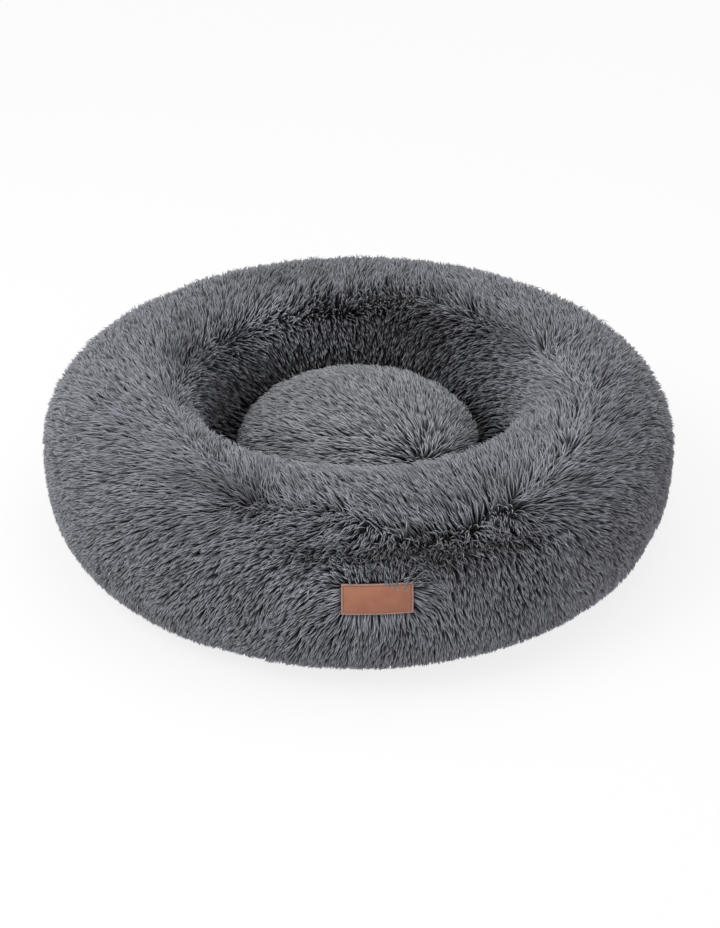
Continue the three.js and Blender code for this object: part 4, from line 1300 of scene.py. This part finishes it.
def grain_group():
    """Cloudy patches and a finer grain over Object coordinates, both of which a stretch may draw out along X."""
    group, given, out = new_group(
        "Cloudy grain", {"Clouds scale": 20.0, "Grain scale": 100.0, "Stretch": 1.0}, {"Clouds": 0.0, "Grain": 0.0})
    x, y, z = parts_of(group, node(group, "ShaderNodeTexCoord").outputs["Object"])
    place = node(group, "ShaderNodeCombineXYZ")
    for index, part in enumerate((calc(group, "DIVIDE", x, given.outputs["Stretch"]), y, z)):
        group.links.new(part, place.inputs[index])
    for name, detail in (("Clouds", 3.0), ("Grain", 6.0)):
        noise = node(group, "ShaderNodeTexNoise", inputs={"Detail": detail})
        group.links.new(place.outputs[0], noise.inputs["Vector"])
        group.links.new(given.outputs[f"{name} scale"], noise.inputs["Scale"])
        group.links.new(noise.outputs[0], out.inputs[name])


def grained(tree, clouds, grain, stretch=1.0):
    """The cloudy patches and the grain of a material."""
    made = node(tree, "ShaderNodeGroup", node_tree=bpy.data.node_groups["Cloudy grain"],
                inputs={"Clouds scale": clouds, "Grain scale": grain, "Stretch": stretch})
    return made.outputs["Clouds"], made.outputs["Grain"]


def bump(tree, shader, height, distance, strength=1.0):
    """Gives a shader the relief of a height, which is a distance deep in metres."""
    made = node(tree, "ShaderNodeBump", inputs={"Strength": strength, "Distance": distance})
    tree.links.new(height, made.inputs["Height"])
    tree.links.new(made.outputs[0], shader.inputs["Normal"])


def weave_group():
    """Plain weave over Object coordinates: a colour mask and a height."""
    group, given, out = new_group("Plain weave", {"Thread": 0.001}, {"Mask": 0.0, "Height": 0.0})
    place = node(group, "ShaderNodeTexCoord").outputs["Object"]
    threads = []
    for part in parts_of(group, place)[:2]:
        turns = calc(group, "DIVIDE", part, given.outputs["Thread"])
        threads.append(calc(group, "SINE", calc(group, "MULTIPLY", turns, math.pi)))
    over = calc(group, "GREATER_THAN", calc(group, "MULTIPLY", *threads), 0.0)
    warp, weft = (calc(group, "ABSOLUTE", thread) for thread in threads)
    chosen = calc(group, "ADD", calc(group, "MULTIPLY", over, warp),
                  calc(group, "MULTIPLY", calc(group, "SUBTRACT", 1.0, over), weft))
    group.links.new(chosen, out.inputs["Height"])
    fuzz = node(group, "ShaderNodeTexNoise", inputs={"Scale": 60.0, "Detail": 5.0})
    group.links.new(place, fuzz.inputs["Vector"])
    mask = linear(group, chosen, 0.6, calc(group, "MULTIPLY", fuzz.outputs[0], 0.5))
    group.links.new(mask, out.inputs["Mask"])


def woven_material(name, tint, thread, roughness=0.85):
    """Woven cloth of threads of a width in metres, darker between them."""
    material, tree, shader = new_material(name, roughness, Sheen_Weight=0.1)
    weave = node(tree, "ShaderNodeGroup", node_tree=bpy.data.node_groups["Plain weave"], inputs={"Thread": thread})
    clouds, _ = grained(tree, 25.0, 400.0)
    mask = calc(tree, "ADD", weave.outputs["Mask"], calc(tree, "MULTIPLY", clouds, 0.3), clamp=True)
    tree.links.new(blend_colours(tree, mask, rgba(tint, 0.5), rgba(tint, 1.25)), shader.inputs["Base Color"])
    bump(tree, shader, weave.outputs["Height"], 0.0003, 0.7)
    return material


def mottled_material(name, tint, scale, roughness, contrast, depth):
    """A finish with mottled colour and a fine grain."""
    material, tree, shader = new_material(name, roughness)
    clouds, grain = grained(tree, scale * 0.2, scale)
    mix = calc(tree, "MULTIPLY", calc(tree, "ADD", clouds, grain), 0.5)
    tree.links.new(blend_colours(tree, eased(tree, mix, 0.3, 0.7), rgba(tint, 1 - contrast), rgba(tint, 1 + contrast)),
                   shader.inputs["Base Color"])
    bump(tree, shader, grain, depth)
    return material


def ribbed_material(name, tint, ribs):
    """Ribbed tape, with its ribs across the length that its UVs run along."""
    material, tree, shader = new_material(name, 0.8, Sheen_Weight=0.08)
    along = parts_of(tree, node(tree, "ShaderNodeUVMap", uv_map="UVMap").outputs[0])[0]
    rib = linear(tree, calc(tree, "SINE", calc(tree, "MULTIPLY", along, 2 * math.pi * ribs)), 0.5, 0.5)
    _, grain = grained(tree, 40.0, 900.0)
    mask = linear(tree, rib, 0.6, calc(tree, "MULTIPLY", grain, 0.4))
    tree.links.new(blend_colours(tree, mask, rgba(tint, 0.5), rgba(tint, 1.6)), shader.inputs["Base Color"])
    bump(tree, shader, rib, 0.0003, 0.8)
    return material


def leather_material(colours):
    """Smooth tan leather: fine grain and cloudy colour, a raised edge that is worn pale, and inside it the line
    that the press darkened."""
    material, tree, shader = new_material("Leather", 0.5)
    clouds, grain = grained(tree, 55.0, 700.0)
    pebbles = node(tree, "ShaderNodeTexVoronoi", inputs={"Scale": 1100.0})
    tree.links.new(node(tree, "ShaderNodeTexCoord").outputs["Object"], pebbles.inputs["Vector"])
    to_edge, up, _ = parts_of(tree, node(tree, "ShaderNodeUVMap", uv_map=PATCH_UV).outputs[0])
    golden = linear(tree, clouds, 0.8, calc(tree, "MULTIPLY", up, 0.35))
    face = blend_colours(tree, eased(tree, golden, 0.3, 0.85), rgba(colours.leather, 0.86), rgba(colours.leather_gold))
    edge = blend_colours(tree, eased(tree, grain, 0.3, 0.7), rgba(colours.leather_edge, 0.86),
                         rgba(colours.leather_edge, 1.1))
    worn = blend_colours(tree, eased(tree, to_edge, *PALE_EDGE_ENDS), edge, face)
    line = calc(tree, "MULTIPLY", eased(tree, to_edge, *LINE_BEGINS),
                calc(tree, "SUBTRACT", 1.0, eased(tree, to_edge, *LINE_ENDS)))
    pressed = blend_colours(tree, calc(tree, "MULTIPLY", line, 0.75), worn, rgba(colours.leather, 0.42))
    tree.links.new(pressed, shader.inputs["Base Color"])
    tree.links.new(linear(tree, clouds, 0.25, 0.38), shader.inputs["Roughness"])
    height = calc(tree, "ADD", pebbles.outputs[0], calc(tree, "MULTIPLY", grain, 0.8))
    bump(tree, shader, height, 0.00012, 0.6)
    return material


def metal_material(colours):
    """Satin metal, brushed along X."""
    material, tree, shader = new_material("Zip metal", 0.34, Metallic=1.0)
    _, scratches = grained(tree, 60.0, 900.0, 6.0)
    tint = colours.metal
    tree.links.new(blend_colours(tree, eased(tree, scratches, 0.3, 0.7), rgba(tint, 0.75), rgba(tint, 1.2)),
                   shader.inputs["Base Color"])
    tree.links.new(linear(tree, scratches, 0.3, 0.22), shader.inputs["Roughness"])
    return material


# Pieces

def bowl(cushion, depth):
    """Points of the cushion's cloth underside, from its seam to the middle: drawn in by the gathers at the seam, from
    which small puckers run down."""
    bearing, angle = np.meshgrid(np.arange(0, 360, 2.0), np.linspace(0, 90, 26), indexing="ij")
    across, up, facing = quarter(angle, cushion.radius - cushion.flat_radius,
                                 cushion.seam_height - cushion.bottom_height, BOWL_POWER)
    pucker = 0.5 * cushion.gather_depth * np.cos(np.radians(bearing * 5 * cushion.gathers + 50 * np.sin(
        np.radians(7 * bearing)))) * bell(angle, CUSHION_PUCKER_REACH)
    inwards = depth + seam_drawn_in(cushion, bearing, angle) + np.abs(pucker)
    radius = cushion.flat_radius + across - facing[..., 0] * inwards
    side = round_point(bearing, radius, cushion.seam_height - up + facing[..., 1] * inwards)
    to_middle = np.linspace(1, 0, 16)[1:]
    flat = round_point(*np.broadcast_arrays(bearing[:, :1], radius[:, -1:] * to_middle, side[:, -1:, 2]))
    return np.concatenate([side, flat], 1)


def wall_backing(form, pile, start, end, outside):
    """The closed cloth backing of one wall, which ends at the crest seam."""
    rows = int(round((end - start) / BACKING_TURN)) + 1
    bearing = np.linspace(start + UPRIGHT_GAP, end - UPRIGHT_GAP, rows)[:, None]
    seam = seam_angle(bearing)
    first, last = (-90, seam - CREST_GAP) if outside else (seam + CREST_GAP, 270)
    angle = first + np.linspace(0, 1, 40)[None, :] * (last - first)
    bearing = np.broadcast_to(bearing, angle.shape)
    return shell(form.point(bearing, angle, pile.depth), form.point(bearing, angle, form.rim.wall_depth), False)


class PETBED_OT_rim(bpy.types.Operator):
    """Grows the rim's eight plush panels: closed cloth backings with their pile"""
    bl_idname = "petbed.rim"
    bl_label = "Rim plush"

    def execute(self, context):
        scene = context.scene
        form = RimForm(scene.petbed_rim)
        pile = scene.petbed_pile
        blade = model_lock()
        grown = grow_rim(form, scene.petbed_patch, pile)
        colours = scene.petbed_colours
        materials = {slot: pile_material(name, colours.root, colours.middle, colours.tip)
                     for slot, name in (("plush", "Plush"), ("well_plush", "Well plush"))}
        outside = grown["angle"] < seam_angle(grown["bearing"])
        for side, (start, end) in PANELS.items():
            here = grown["keep"] & ((grown["bearing"] - start) % 360 < end - start)
            for name, slot, chosen, node_name in (
                    (f"outer_plush_{side}", "plush", here & outside, f"outer_wall_{side}"),
                    (f"inner_plush_{side}", "well_plush", here & ~outside, f"inner_wall_{side}")):
                backing = wall_backing(form, pile, start, end, slot == "plush")
                piece = plush_piece(name, backing, locks_of(blade, grown, chosen), materials[slot])
                stands_for(piece, "bed", slot, node_name)
        return {"FINISHED"}


class PETBED_OT_cushion(bpy.types.Operator):
    """Grows the cushion's plush top, and makes its woven underside and its filling"""
    bl_idname = "petbed.cushion"
    bl_label = "Cushion"

    def execute(self, context):
        scene = context.scene
        cushion = scene.petbed_cushion
        pile = scene.petbed_pile
        form = DomeForm(cushion)
        blade = model_lock()
        grown = grow_cushion(form, pile)
        bearing = np.arange(0, 360, 3.0)[:, None]
        angle = np.concatenate([np.linspace(0, 60, 24)[:-1], np.linspace(60, 90, 12)])[None, :]
        bearing, angle = np.broadcast_arrays(bearing, angle)
        backing = shell(form.point(bearing, angle, pile.depth), form.point(bearing, angle, cushion.pile_depth),
                        True, pole=True)
        colours = scene.petbed_colours
        material = pile_material("Cushion plush", colours.root, colours.cushion_middle, colours.cushion_tip)
        piece = plush_piece("cushion_plush", backing, locks_of(blade, grown), material)
        stands_for(piece, "cushion", "cushion_plush", "cushion_top")
        underside = mesh_piece("cushion_underside", *shell(
            bowl(cushion, cushion.cloth), bowl(cushion, 0.0), True, pole=True), bpy.data.materials["Woven cloth"])
        stands_for(underside, "cushion", "woven_cloth", "cushion_bottom")
        fibre = stuffed("cushion_filling", "cushion_fibre", CUSHION_VOXEL, CUSHION_LUMPS, bpy.data.materials["Fibre"])
        stands_for(fibre, "cushion", "fibre", "cushion_filling")
        return {"FINISHED"}


class PETBED_OT_patch(bpy.types.Operator):
    """Makes the leather patch with its raised edge and the line that is pressed inside it"""
    bl_idname = "petbed.patch"
    bl_label = "Leather patch"

    def execute(self, context):
        scene = context.scene
        patch = scene.petbed_patch
        form = RimForm(scene.petbed_rim)
        across = np.linspace(-1, 1, 111)[:, None]
        up = np.linspace(-1, 1, 57)[None, :]
        across, up = np.broadcast_arrays(across, up)
        to_edge = np.minimum(patch.width / 2 * (1 - np.abs(across)), patch.height / 2 * (1 - np.abs(up)))
        arc = form.arc_at(form.angle_at_height(patch.middle_height)) + up * patch.height / 2
        bearing = PATCH_BEARING + np.degrees(across * patch.width / 2 / form.radius)
        angle = form.angle_at(arc)
        rounded = patch.thickness / 2 * ramp(to_edge, PATCH_ROUNDING, 0) ** 2
        pressed = (PRESSED_DEPTH * bell(to_edge - patch.border, PRESSED_WIDTH)
                   + FACE_SINK * ramp(to_edge, patch.border, 2 * patch.border))
        face = form.point(bearing, angle, patch.sink + rounded + pressed)
        back = form.point(bearing, angle, patch.sink + patch.thickness)
        points, corners, sizes = shell(face, back, False)
        edge = np.concatenate([to_edge.ravel(), np.zeros(to_edge.size)]) / PATCH_EDGE_REACH
        height = np.concatenate([up.ravel(), up.ravel()]) / 2 + 0.5
        piece = mesh_piece("leather_patch", points, corners, sizes, leather_material(scene.petbed_colours),
                           np.stack([np.clip(edge, 0, 1), height], 1)[corners], PATCH_UV)
        stands_for(piece, "bed", "leather", "label")
        return {"FINISHED"}


class PETBED_OT_finishes(bpy.types.Operator):
    """Makes the cloth, fibre, nylon and metal finishes, and gives the zip's metal parts theirs"""
    bl_idname = "petbed.finishes"
    bl_label = "Finishes"

    def execute(self, context):
        colours = context.scene.petbed_colours
        weave_group()
        grain_group()
        pile_group()
        woven_material("Woven cloth", colours.woven, thread=0.0012)
        woven_material("Base cloth", colours.base, thread=0.0016)
        woven_material("Zip cloth", colours.nylon, thread=0.0006, roughness=0.7)
        ribbed_material("Binding", colours.binding, ribs=900)
        for name, tint, scale, roughness, contrast, depth in (
                ("Liner cloth", colours.liner, 300.0, 0.9, 0.12, 0.0003),
                ("Fibre", colours.fibre, 260.0, 0.95, 0.1, 0.001),
                ("Grip rubber", colours.grip, 700.0, 0.55, 0.3, 0.0001),
                ("Zip nylon", colours.nylon, 800.0, 0.42, 0.25, 0.00005),
                ("Thread", colours.thread, 2000.0, 0.7, 0.3, 0.0001)):
            mottled_material(name, tint, scale, roughness, contrast, depth)
        metal = metal_material(colours)
        for row in frame["record"]["subparts"]:
            if row["material_slot"] == "zip_metal":
                mesh = frame["nodes"][row["node"]].data
                mesh.materials.clear()
                mesh.materials.append(metal)
        return {"FINISHED"}


class PETBED_OT_base(bpy.types.Operator):
    """Makes the base cloth with its grip dots and stitches, its binding, and the well's floor"""
    bl_idname = "petbed.base"
    bl_label = "Base"

    def base_height(self, radius):
        """Height of the underside of the base cloth, between the grip dots."""
        base = self.base
        rise = (base.dish_height - base.grip_height) * ramp(radius, base.outer_dish_radius, base.inner_dish_radius)
        return base.grip_height + rise

    def half(self, side, word):
        """One half of the base cloth, cut along the zip and round its opening."""
        base = self.base
        radii = [base.edge_radius, *np.linspace(base.edge_radius - BASE_HEM, base.outer_dish_radius, 8),
                 *np.linspace(base.outer_dish_radius, base.inner_dish_radius, 6)[1:],
                 *np.linspace(base.inner_dish_radius, 0.0, 14)[1:]]
        cloth = turned(f"base_cloth_{word}", [(float(r), float(self.base_height(r))) for r in radii], 144)
        only(cloth)
        bpy.ops.object.mode_set(mode="EDIT")
        slot_edge = side * base.slot_width / 2
        for place, facing, clear in (((0, side * HALF_GAP, 0), (0, side, 0), True),
                                     ((0, slot_edge, 0), (0, side, 0), False),
                                     ((base.slot_length / 2, 0, 0), (1, 0, 0), False),
                                     ((-base.slot_length / 2, 0, 0), (1, 0, 0), False)):
            bpy.ops.mesh.select_all(action="SELECT")
            bpy.ops.mesh.bisect(plane_co=place, plane_no=facing, clear_inner=clear)
        bpy.ops.mesh.select_mode(type="FACE")
        bpy.ops.mesh.select_all(action="DESELECT")
        bpy.ops.object.mode_set(mode="OBJECT")
        for face in cloth.data.polygons:
            x, y, _ = face.center
            face.select = abs(x) < base.slot_length / 2 and side * y < base.slot_width / 2
        bpy.ops.object.mode_set(mode="EDIT")
        bpy.ops.mesh.delete(type="FACE")
        bpy.ops.mesh.select_mode(type="VERT")
        bpy.ops.object.mode_set(mode="OBJECT")
        apply(cloth, "SOLIDIFY", thickness=base.top_height - base.dish_height - base.grip_height, offset=-1.0)
        return smooth(cloth, bpy.data.materials["Base cloth"], angle=50.0)

    def grip_dots(self, side, word):
        """The grip dots under one half, in staggered rows, clear of the zip, the slope and the edge."""
        base = self.base
        dot = begin(bpy.ops.mesh.primitive_circle_add, "dot", vertices=6, radius=base.grip_radius, fill_type="NGON")
        bpy.ops.transform.translate(value=(0, 0, DOT_ROOT))
        for down, wide in ((0.6, 0.92), (0.4, 0.55)):
            bpy.ops.mesh.extrude_region_move(
                TRANSFORM_OT_translate={"value": (0, 0, -down * (base.grip_height + DOT_ROOT))})
            bpy.ops.transform.resize(value=(wide, wide, 1))
        bpy.ops.mesh.select_all(action="SELECT")
        bpy.ops.mesh.normals_make_consistent(inside=False)
        bpy.ops.object.mode_set(mode="OBJECT")
        pitch = base.grip_pitch
        count = int(base.edge_radius / pitch) + 2
        column, row = np.meshgrid(np.arange(-count, count + 1), np.arange(-2 * count, 2 * count + 1))
        x = ((column + 0.5 * (row % 2)) * pitch).ravel()
        y = ((row + 0.5) * pitch * math.sqrt(3) / 2).ravel()
        radius = np.hypot(x, y)
        by_zip = ((np.abs(x) < base.slot_length / 2 + DOTS_FROM_ZIP)
                  & (np.abs(y) < base.slot_width / 2 + DOTS_FROM_ZIP))
        sloped = ((radius > base.inner_dish_radius - DOTS_FROM_SLOPE)
                  & (radius < base.outer_dish_radius + DOTS_FROM_SLOPE))
        kept = (side * y > 0) & (radius < base.edge_radius - DOTS_FROM_EDGE) & ~by_zip & ~sloped
        x, y, radius = x[kept], y[kept], radius[kept]
        places = np.stack([x, y, self.base_height(radius)], 1)
        return copies(f"grip_dots_{word}", dot, places, np.zeros(len(x)), bpy.data.materials["Grip rubber"])

    def stitches(self, side, word):
        """The stitches that hold one half to the binding and to the zip."""
        base = self.base
        stitch = block("stitch", STITCH, (0, 0, -STITCH_SINK), bevel=0.0002, segments=1)
        bearing = side * np.arange(RING_FIRST, 180 - RING_FIRST, RING_PITCH)
        turns = np.radians(bearing)
        ring = round_point(bearing, base.edge_radius - RING_FROM_EDGE, np.full_like(bearing, base.grip_height))
        end = base.slot_length / 2 + ROW_PAST_SLOT
        x = np.arange(-end, end, ROW_PITCH)
        y = side * (base.slot_width / 2 + ROW_FROM_SLOT)
        row = np.stack([x, np.full_like(x, y), np.full_like(x, base.dish_height)], 1)
        return copies(f"base_stitches_{word}", stitch, np.concatenate([ring, row]),
                      np.concatenate([turns + math.pi / 2, np.zeros(len(x))]), bpy.data.materials["Thread"])

    def execute(self, context):
        self.base = base = context.scene.petbed_base
        binding = begin(bpy.ops.mesh.primitive_torus_add, "base_bead", major_segments=360, minor_segments=20,
                        major_radius=base.binding_radius, minor_radius=base.binding_width / 2)
        bpy.ops.transform.resize(value=(1, 1, base.binding_height / base.binding_width))
        bpy.ops.transform.translate(value=(0, 0, base.binding_height / 2 + BINDING_LIFT))
        bpy.ops.object.mode_set(mode="OBJECT")
        smooth(binding, bpy.data.materials["Binding"])
        stands_for(binding, "bed", "binding", "base_binding")
        for side, word in ((-1, "front"), (1, "back")):
            cloth = self.half(side, word)
            stands_for(cloth, "bed", "base_cloth", f"base_panel_{word}")
            dots, stitches = self.grip_dots(side, word), self.stitches(side, word)
            for piece in (dots, stitches):
                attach(piece, "bed")
        radii = [base.floor_radius, *np.linspace(base.floor_radius - FLOOR_HEM, 0.0, 24)]
        floor = turned("well_cloth", [(float(radius), base.floor_height) for radius in radii], 120)
        points = points_of(floor)
        inside = ramp(np.hypot(points[:, 0], points[:, 1]), base.floor_radius, base.floor_radius * 5 / 6)
        points[:, 2] += FLOOR_RIPPLE * inside * (0.5 + 0.5 * waves(points, FLOOR_RIPPLE_SIZE, SEED + 30))
        move_points(floor, points)
        apply(floor, "SOLIDIFY", thickness=base.floor_cloth, offset=-1.0)
        smooth(floor, bpy.data.materials["Woven cloth"])
        stands_for(floor, "bed", "woven_cloth", "well_floor")
        return {"FINISHED"}


class PETBED_OT_filling(bpy.types.Operator):
    """Makes the rim's fibre and the bag that holds it"""
    bl_idname = "petbed.filling"
    bl_label = "Filling"

    def execute(self, context):
        fibre = stuffed("rim_filling", "rim_fibre", RIM_VOXEL, RIM_LUMPS, bpy.data.materials["Fibre"])
        stands_for(fibre, "bed", "fibre", "rim_filling")
        bag = copy_of("rim_liner", "rim_bag")
        bpy.ops.object.mode_set(mode="EDIT")
        bpy.ops.mesh.select_all(action="SELECT")
        bpy.ops.mesh.subdivide(number_cuts=1)
        bpy.ops.object.mode_set(mode="OBJECT")
        points = points_of(bag)
        raised = ramp(points[:, 2], *BAG_RUFFLE_FROM)[:, None]
        ruffles = np.stack([waves(points, BAG_RUFFLE_SIZE, SEED + 40 + axis) for axis in range(3)], 1)
        move_points(bag, points + BAG_RUFFLE * raised * ruffles)
        smooth(bag, bpy.data.materials["Liner cloth"], angle=60.0)
        stands_for(bag, "bed", "liner_cloth", "rim_liner")
        return {"FINISHED"}


class PETBED_OT_zip(bpy.types.Operator):
    """Makes the zip's two cloth tapes, each with its row of nylon teeth, and the tabs that join their ends"""
    bl_idname = "petbed.zip"
    bl_label = "Zip"

    def execute(self, context):
        base = context.scene.petbed_base
        nylon = bpy.data.materials["Zip nylon"]
        for side, word in ((-1, "front"), (1, "back")):
            middle = side * (base.tape_from_middle + base.tape_width / 2)
            tape = block(f"zip_cloth_{word}", (base.tape_length, base.tape_width, TAPE_THICKNESS),
                         (0, middle, base.zip_height), bevel=0.0003)
            smooth(tape, bpy.data.materials["Zip cloth"])
            cord = block("cord", (base.row_length, *CORD), (0, side * CORD_FROM_MIDDLE, base.zip_height),
                         bevel=0.00025)
            cord.data.materials.append(nylon)
            tooth = block("tooth", TOOTH, (0, side * TOOTH_FROM_MIDDLE, base.zip_height), bevel=0.0005)
            count = int(base.row_length / base.tooth_pitch) - 1
            first = -base.row_length / 2 + (1.0 if side > 0 else 0.5) * base.tooth_pitch
            x = first + np.arange(count) * base.tooth_pitch
            places = np.stack([x, np.zeros(count), np.zeros(count)], 1)
            teeth = copies(f"zip_teeth_{word}", tooth, places, np.zeros(count), nylon)
            only(teeth)
            cord.select_set(True)
            bpy.ops.object.join()
            smooth(teeth, nylon)
            stands_for(tape, "bed", "zip_nylon", f"zip_tape_{word}")
            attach(teeth, "bed")
        tab = block("tab", TAB, ((base.tape_length - TAB[0]) / 2, 0, base.zip_height + TAB_LIFT), bevel=0.0002)
        ends = copies("zip_ends", tab, np.zeros((2, 3)), np.array((0.0, math.pi)), bpy.data.materials["Zip cloth"])
        smooth(ends, bpy.data.materials["Zip cloth"])
        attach(ends, "bed")
        return {"FINISHED"}


def seen_rays(tree):
    """1 for rays from the camera, from reflections and through glass, which see the white background."""
    path = node(tree, "ShaderNodeLightPath")
    seen = calc(tree, "MAXIMUM", path.outputs["Is Camera Ray"], path.outputs["Is Glossy Ray"])
    return calc(tree, "MAXIMUM", seen, path.outputs["Is Transmission Ray"])


class PETBED_OT_stage(bpy.types.Operator):
    """Sets the floor, the soft lights and the camera"""
    bl_idname = "petbed.stage"
    bl_label = "Stage"

    def execute(self, context):
        scene = context.scene
        bpy.ops.object.select_all(action="DESELECT")
        bpy.ops.mesh.primitive_plane_add(size=400.0, location=(0, 0, 0))
        floor = context.object
        floor.name = "floor"
        material, tree, shader = new_material("Floor", 0.9, Base_Color=FLOOR_COLOUR)
        glow = node(tree, "ShaderNodeEmission", inputs={"Color": WHITE})
        mixed = node(tree, "ShaderNodeMixShader")
        away = node(tree, "ShaderNodeVectorMath", operation="LENGTH")
        tree.links.new(node(tree, "ShaderNodeTexCoord").outputs["Object"], away.inputs[0])
        white = linear(tree, eased(tree, away.outputs["Value"], *FLOOR_FADE), 1 - FLOOR_GLOW, FLOOR_GLOW)
        tree.links.new(calc(tree, "MULTIPLY", seen_rays(tree), white), mixed.inputs[0])
        tree.links.new(shader.outputs[0], mixed.inputs[1])
        tree.links.new(glow.outputs[0], mixed.inputs[2])
        tree.links.new(mixed.outputs[0], tree.nodes["Material Output"].inputs["Surface"])
        floor.data.materials.append(material)
        scene.world = bpy.data.worlds.new("Studio")
        scene.world.use_nodes = True
        tree = scene.world.node_tree
        background = tree.nodes["Background"]
        background.inputs["Color"].default_value = WHITE
        tree.links.new(linear(tree, seen_rays(tree), 1 - WORLD_LIGHT, WORLD_LIGHT), background.inputs["Strength"])
        for name, place, size, power in LAMPS:
            lamp = bpy.data.lights.new(name, "AREA")
            lamp.size = size
            lamp.energy = power
            holder = bpy.data.objects.new(name, lamp)
            holder.location = place
            holder.rotation_euler = (LAMP_AIM - holder.location).to_track_quat("-Z", "Y").to_euler()
            scene.collection.objects.link(holder)
        stage = scene.petbed_stage
        lens = bpy.data.cameras.new("camera")
        lens.lens = stage.lens
        lens.sensor_width = SENSOR_WIDTH
        lens.shift_x, lens.shift_y = LENS_SHIFT
        lens.clip_end = 500.0
        camera = bpy.data.objects.new("camera", lens)
        back = Vector((0, -math.cos(stage.elevation), math.sin(stage.elevation)))
        camera.location = CAMERA_AIM + back * stage.distance
        camera.rotation_euler = (-back).to_track_quat("-Z", "Y").to_euler()
        scene.collection.objects.link(camera)
        scene.camera = camera
        scene.view_settings.view_transform = "Standard"
        return {"FINISHED"}


class PETBED_PT_panel(bpy.types.Panel):
    bl_label = "Pet Bed"
    bl_idname = "PETBED_PT_panel"
    bl_space_type = "VIEW_3D"
    bl_region_type = "UI"
    bl_category = "Pet Bed"

    def draw(self, context):
        for key in GROUPS:
            box = self.layout.box()
            box.label(text=key.replace("petbed_", "").capitalize())
            settings = getattr(context.scene, key)
            for name in settings.__annotations__:
                box.prop(settings, name)
        for operator in OPERATORS:
            self.layout.operator(operator.bl_idname)


GROUPS = {
    "petbed_rim": PETBED_PG_rim, "petbed_cushion": PETBED_PG_cushion, "petbed_pile": PETBED_PG_pile,
    "petbed_patch": PETBED_PG_patch, "petbed_base": PETBED_PG_base, "petbed_colours": PETBED_PG_colours,
    "petbed_stage": PETBED_PG_stage,
}
OPERATORS = (PETBED_OT_stage, PETBED_OT_finishes, PETBED_OT_rim, PETBED_OT_cushion, PETBED_OT_patch, PETBED_OT_base,
             PETBED_OT_filling, PETBED_OT_zip)


def register():
    for kind in (*GROUPS.values(), *OPERATORS, PETBED_PT_panel):
        bpy.utils.register_class(kind)
    for key, kind in GROUPS.items():
        setattr(bpy.types.Scene, key, bpy.props.PointerProperty(type=kind))


def unregister():
    for key in GROUPS:
        delattr(bpy.types.Scene, key)
    for kind in (PETBED_PT_panel, *reversed(OPERATORS), *reversed(GROUPS.values())):
        bpy.utils.unregister_class(kind)


def main():
    register()
    bpy.ops.petbed.stage()
    bpy.ops.petbed.finishes()
    bpy.ops.petbed.rim()
    bpy.ops.petbed.cushion()
    bpy.ops.petbed.patch()
    bpy.ops.petbed.base()
    bpy.ops.petbed.filling()
    bpy.ops.petbed.zip()


if __name__ == "__main__":
    main()
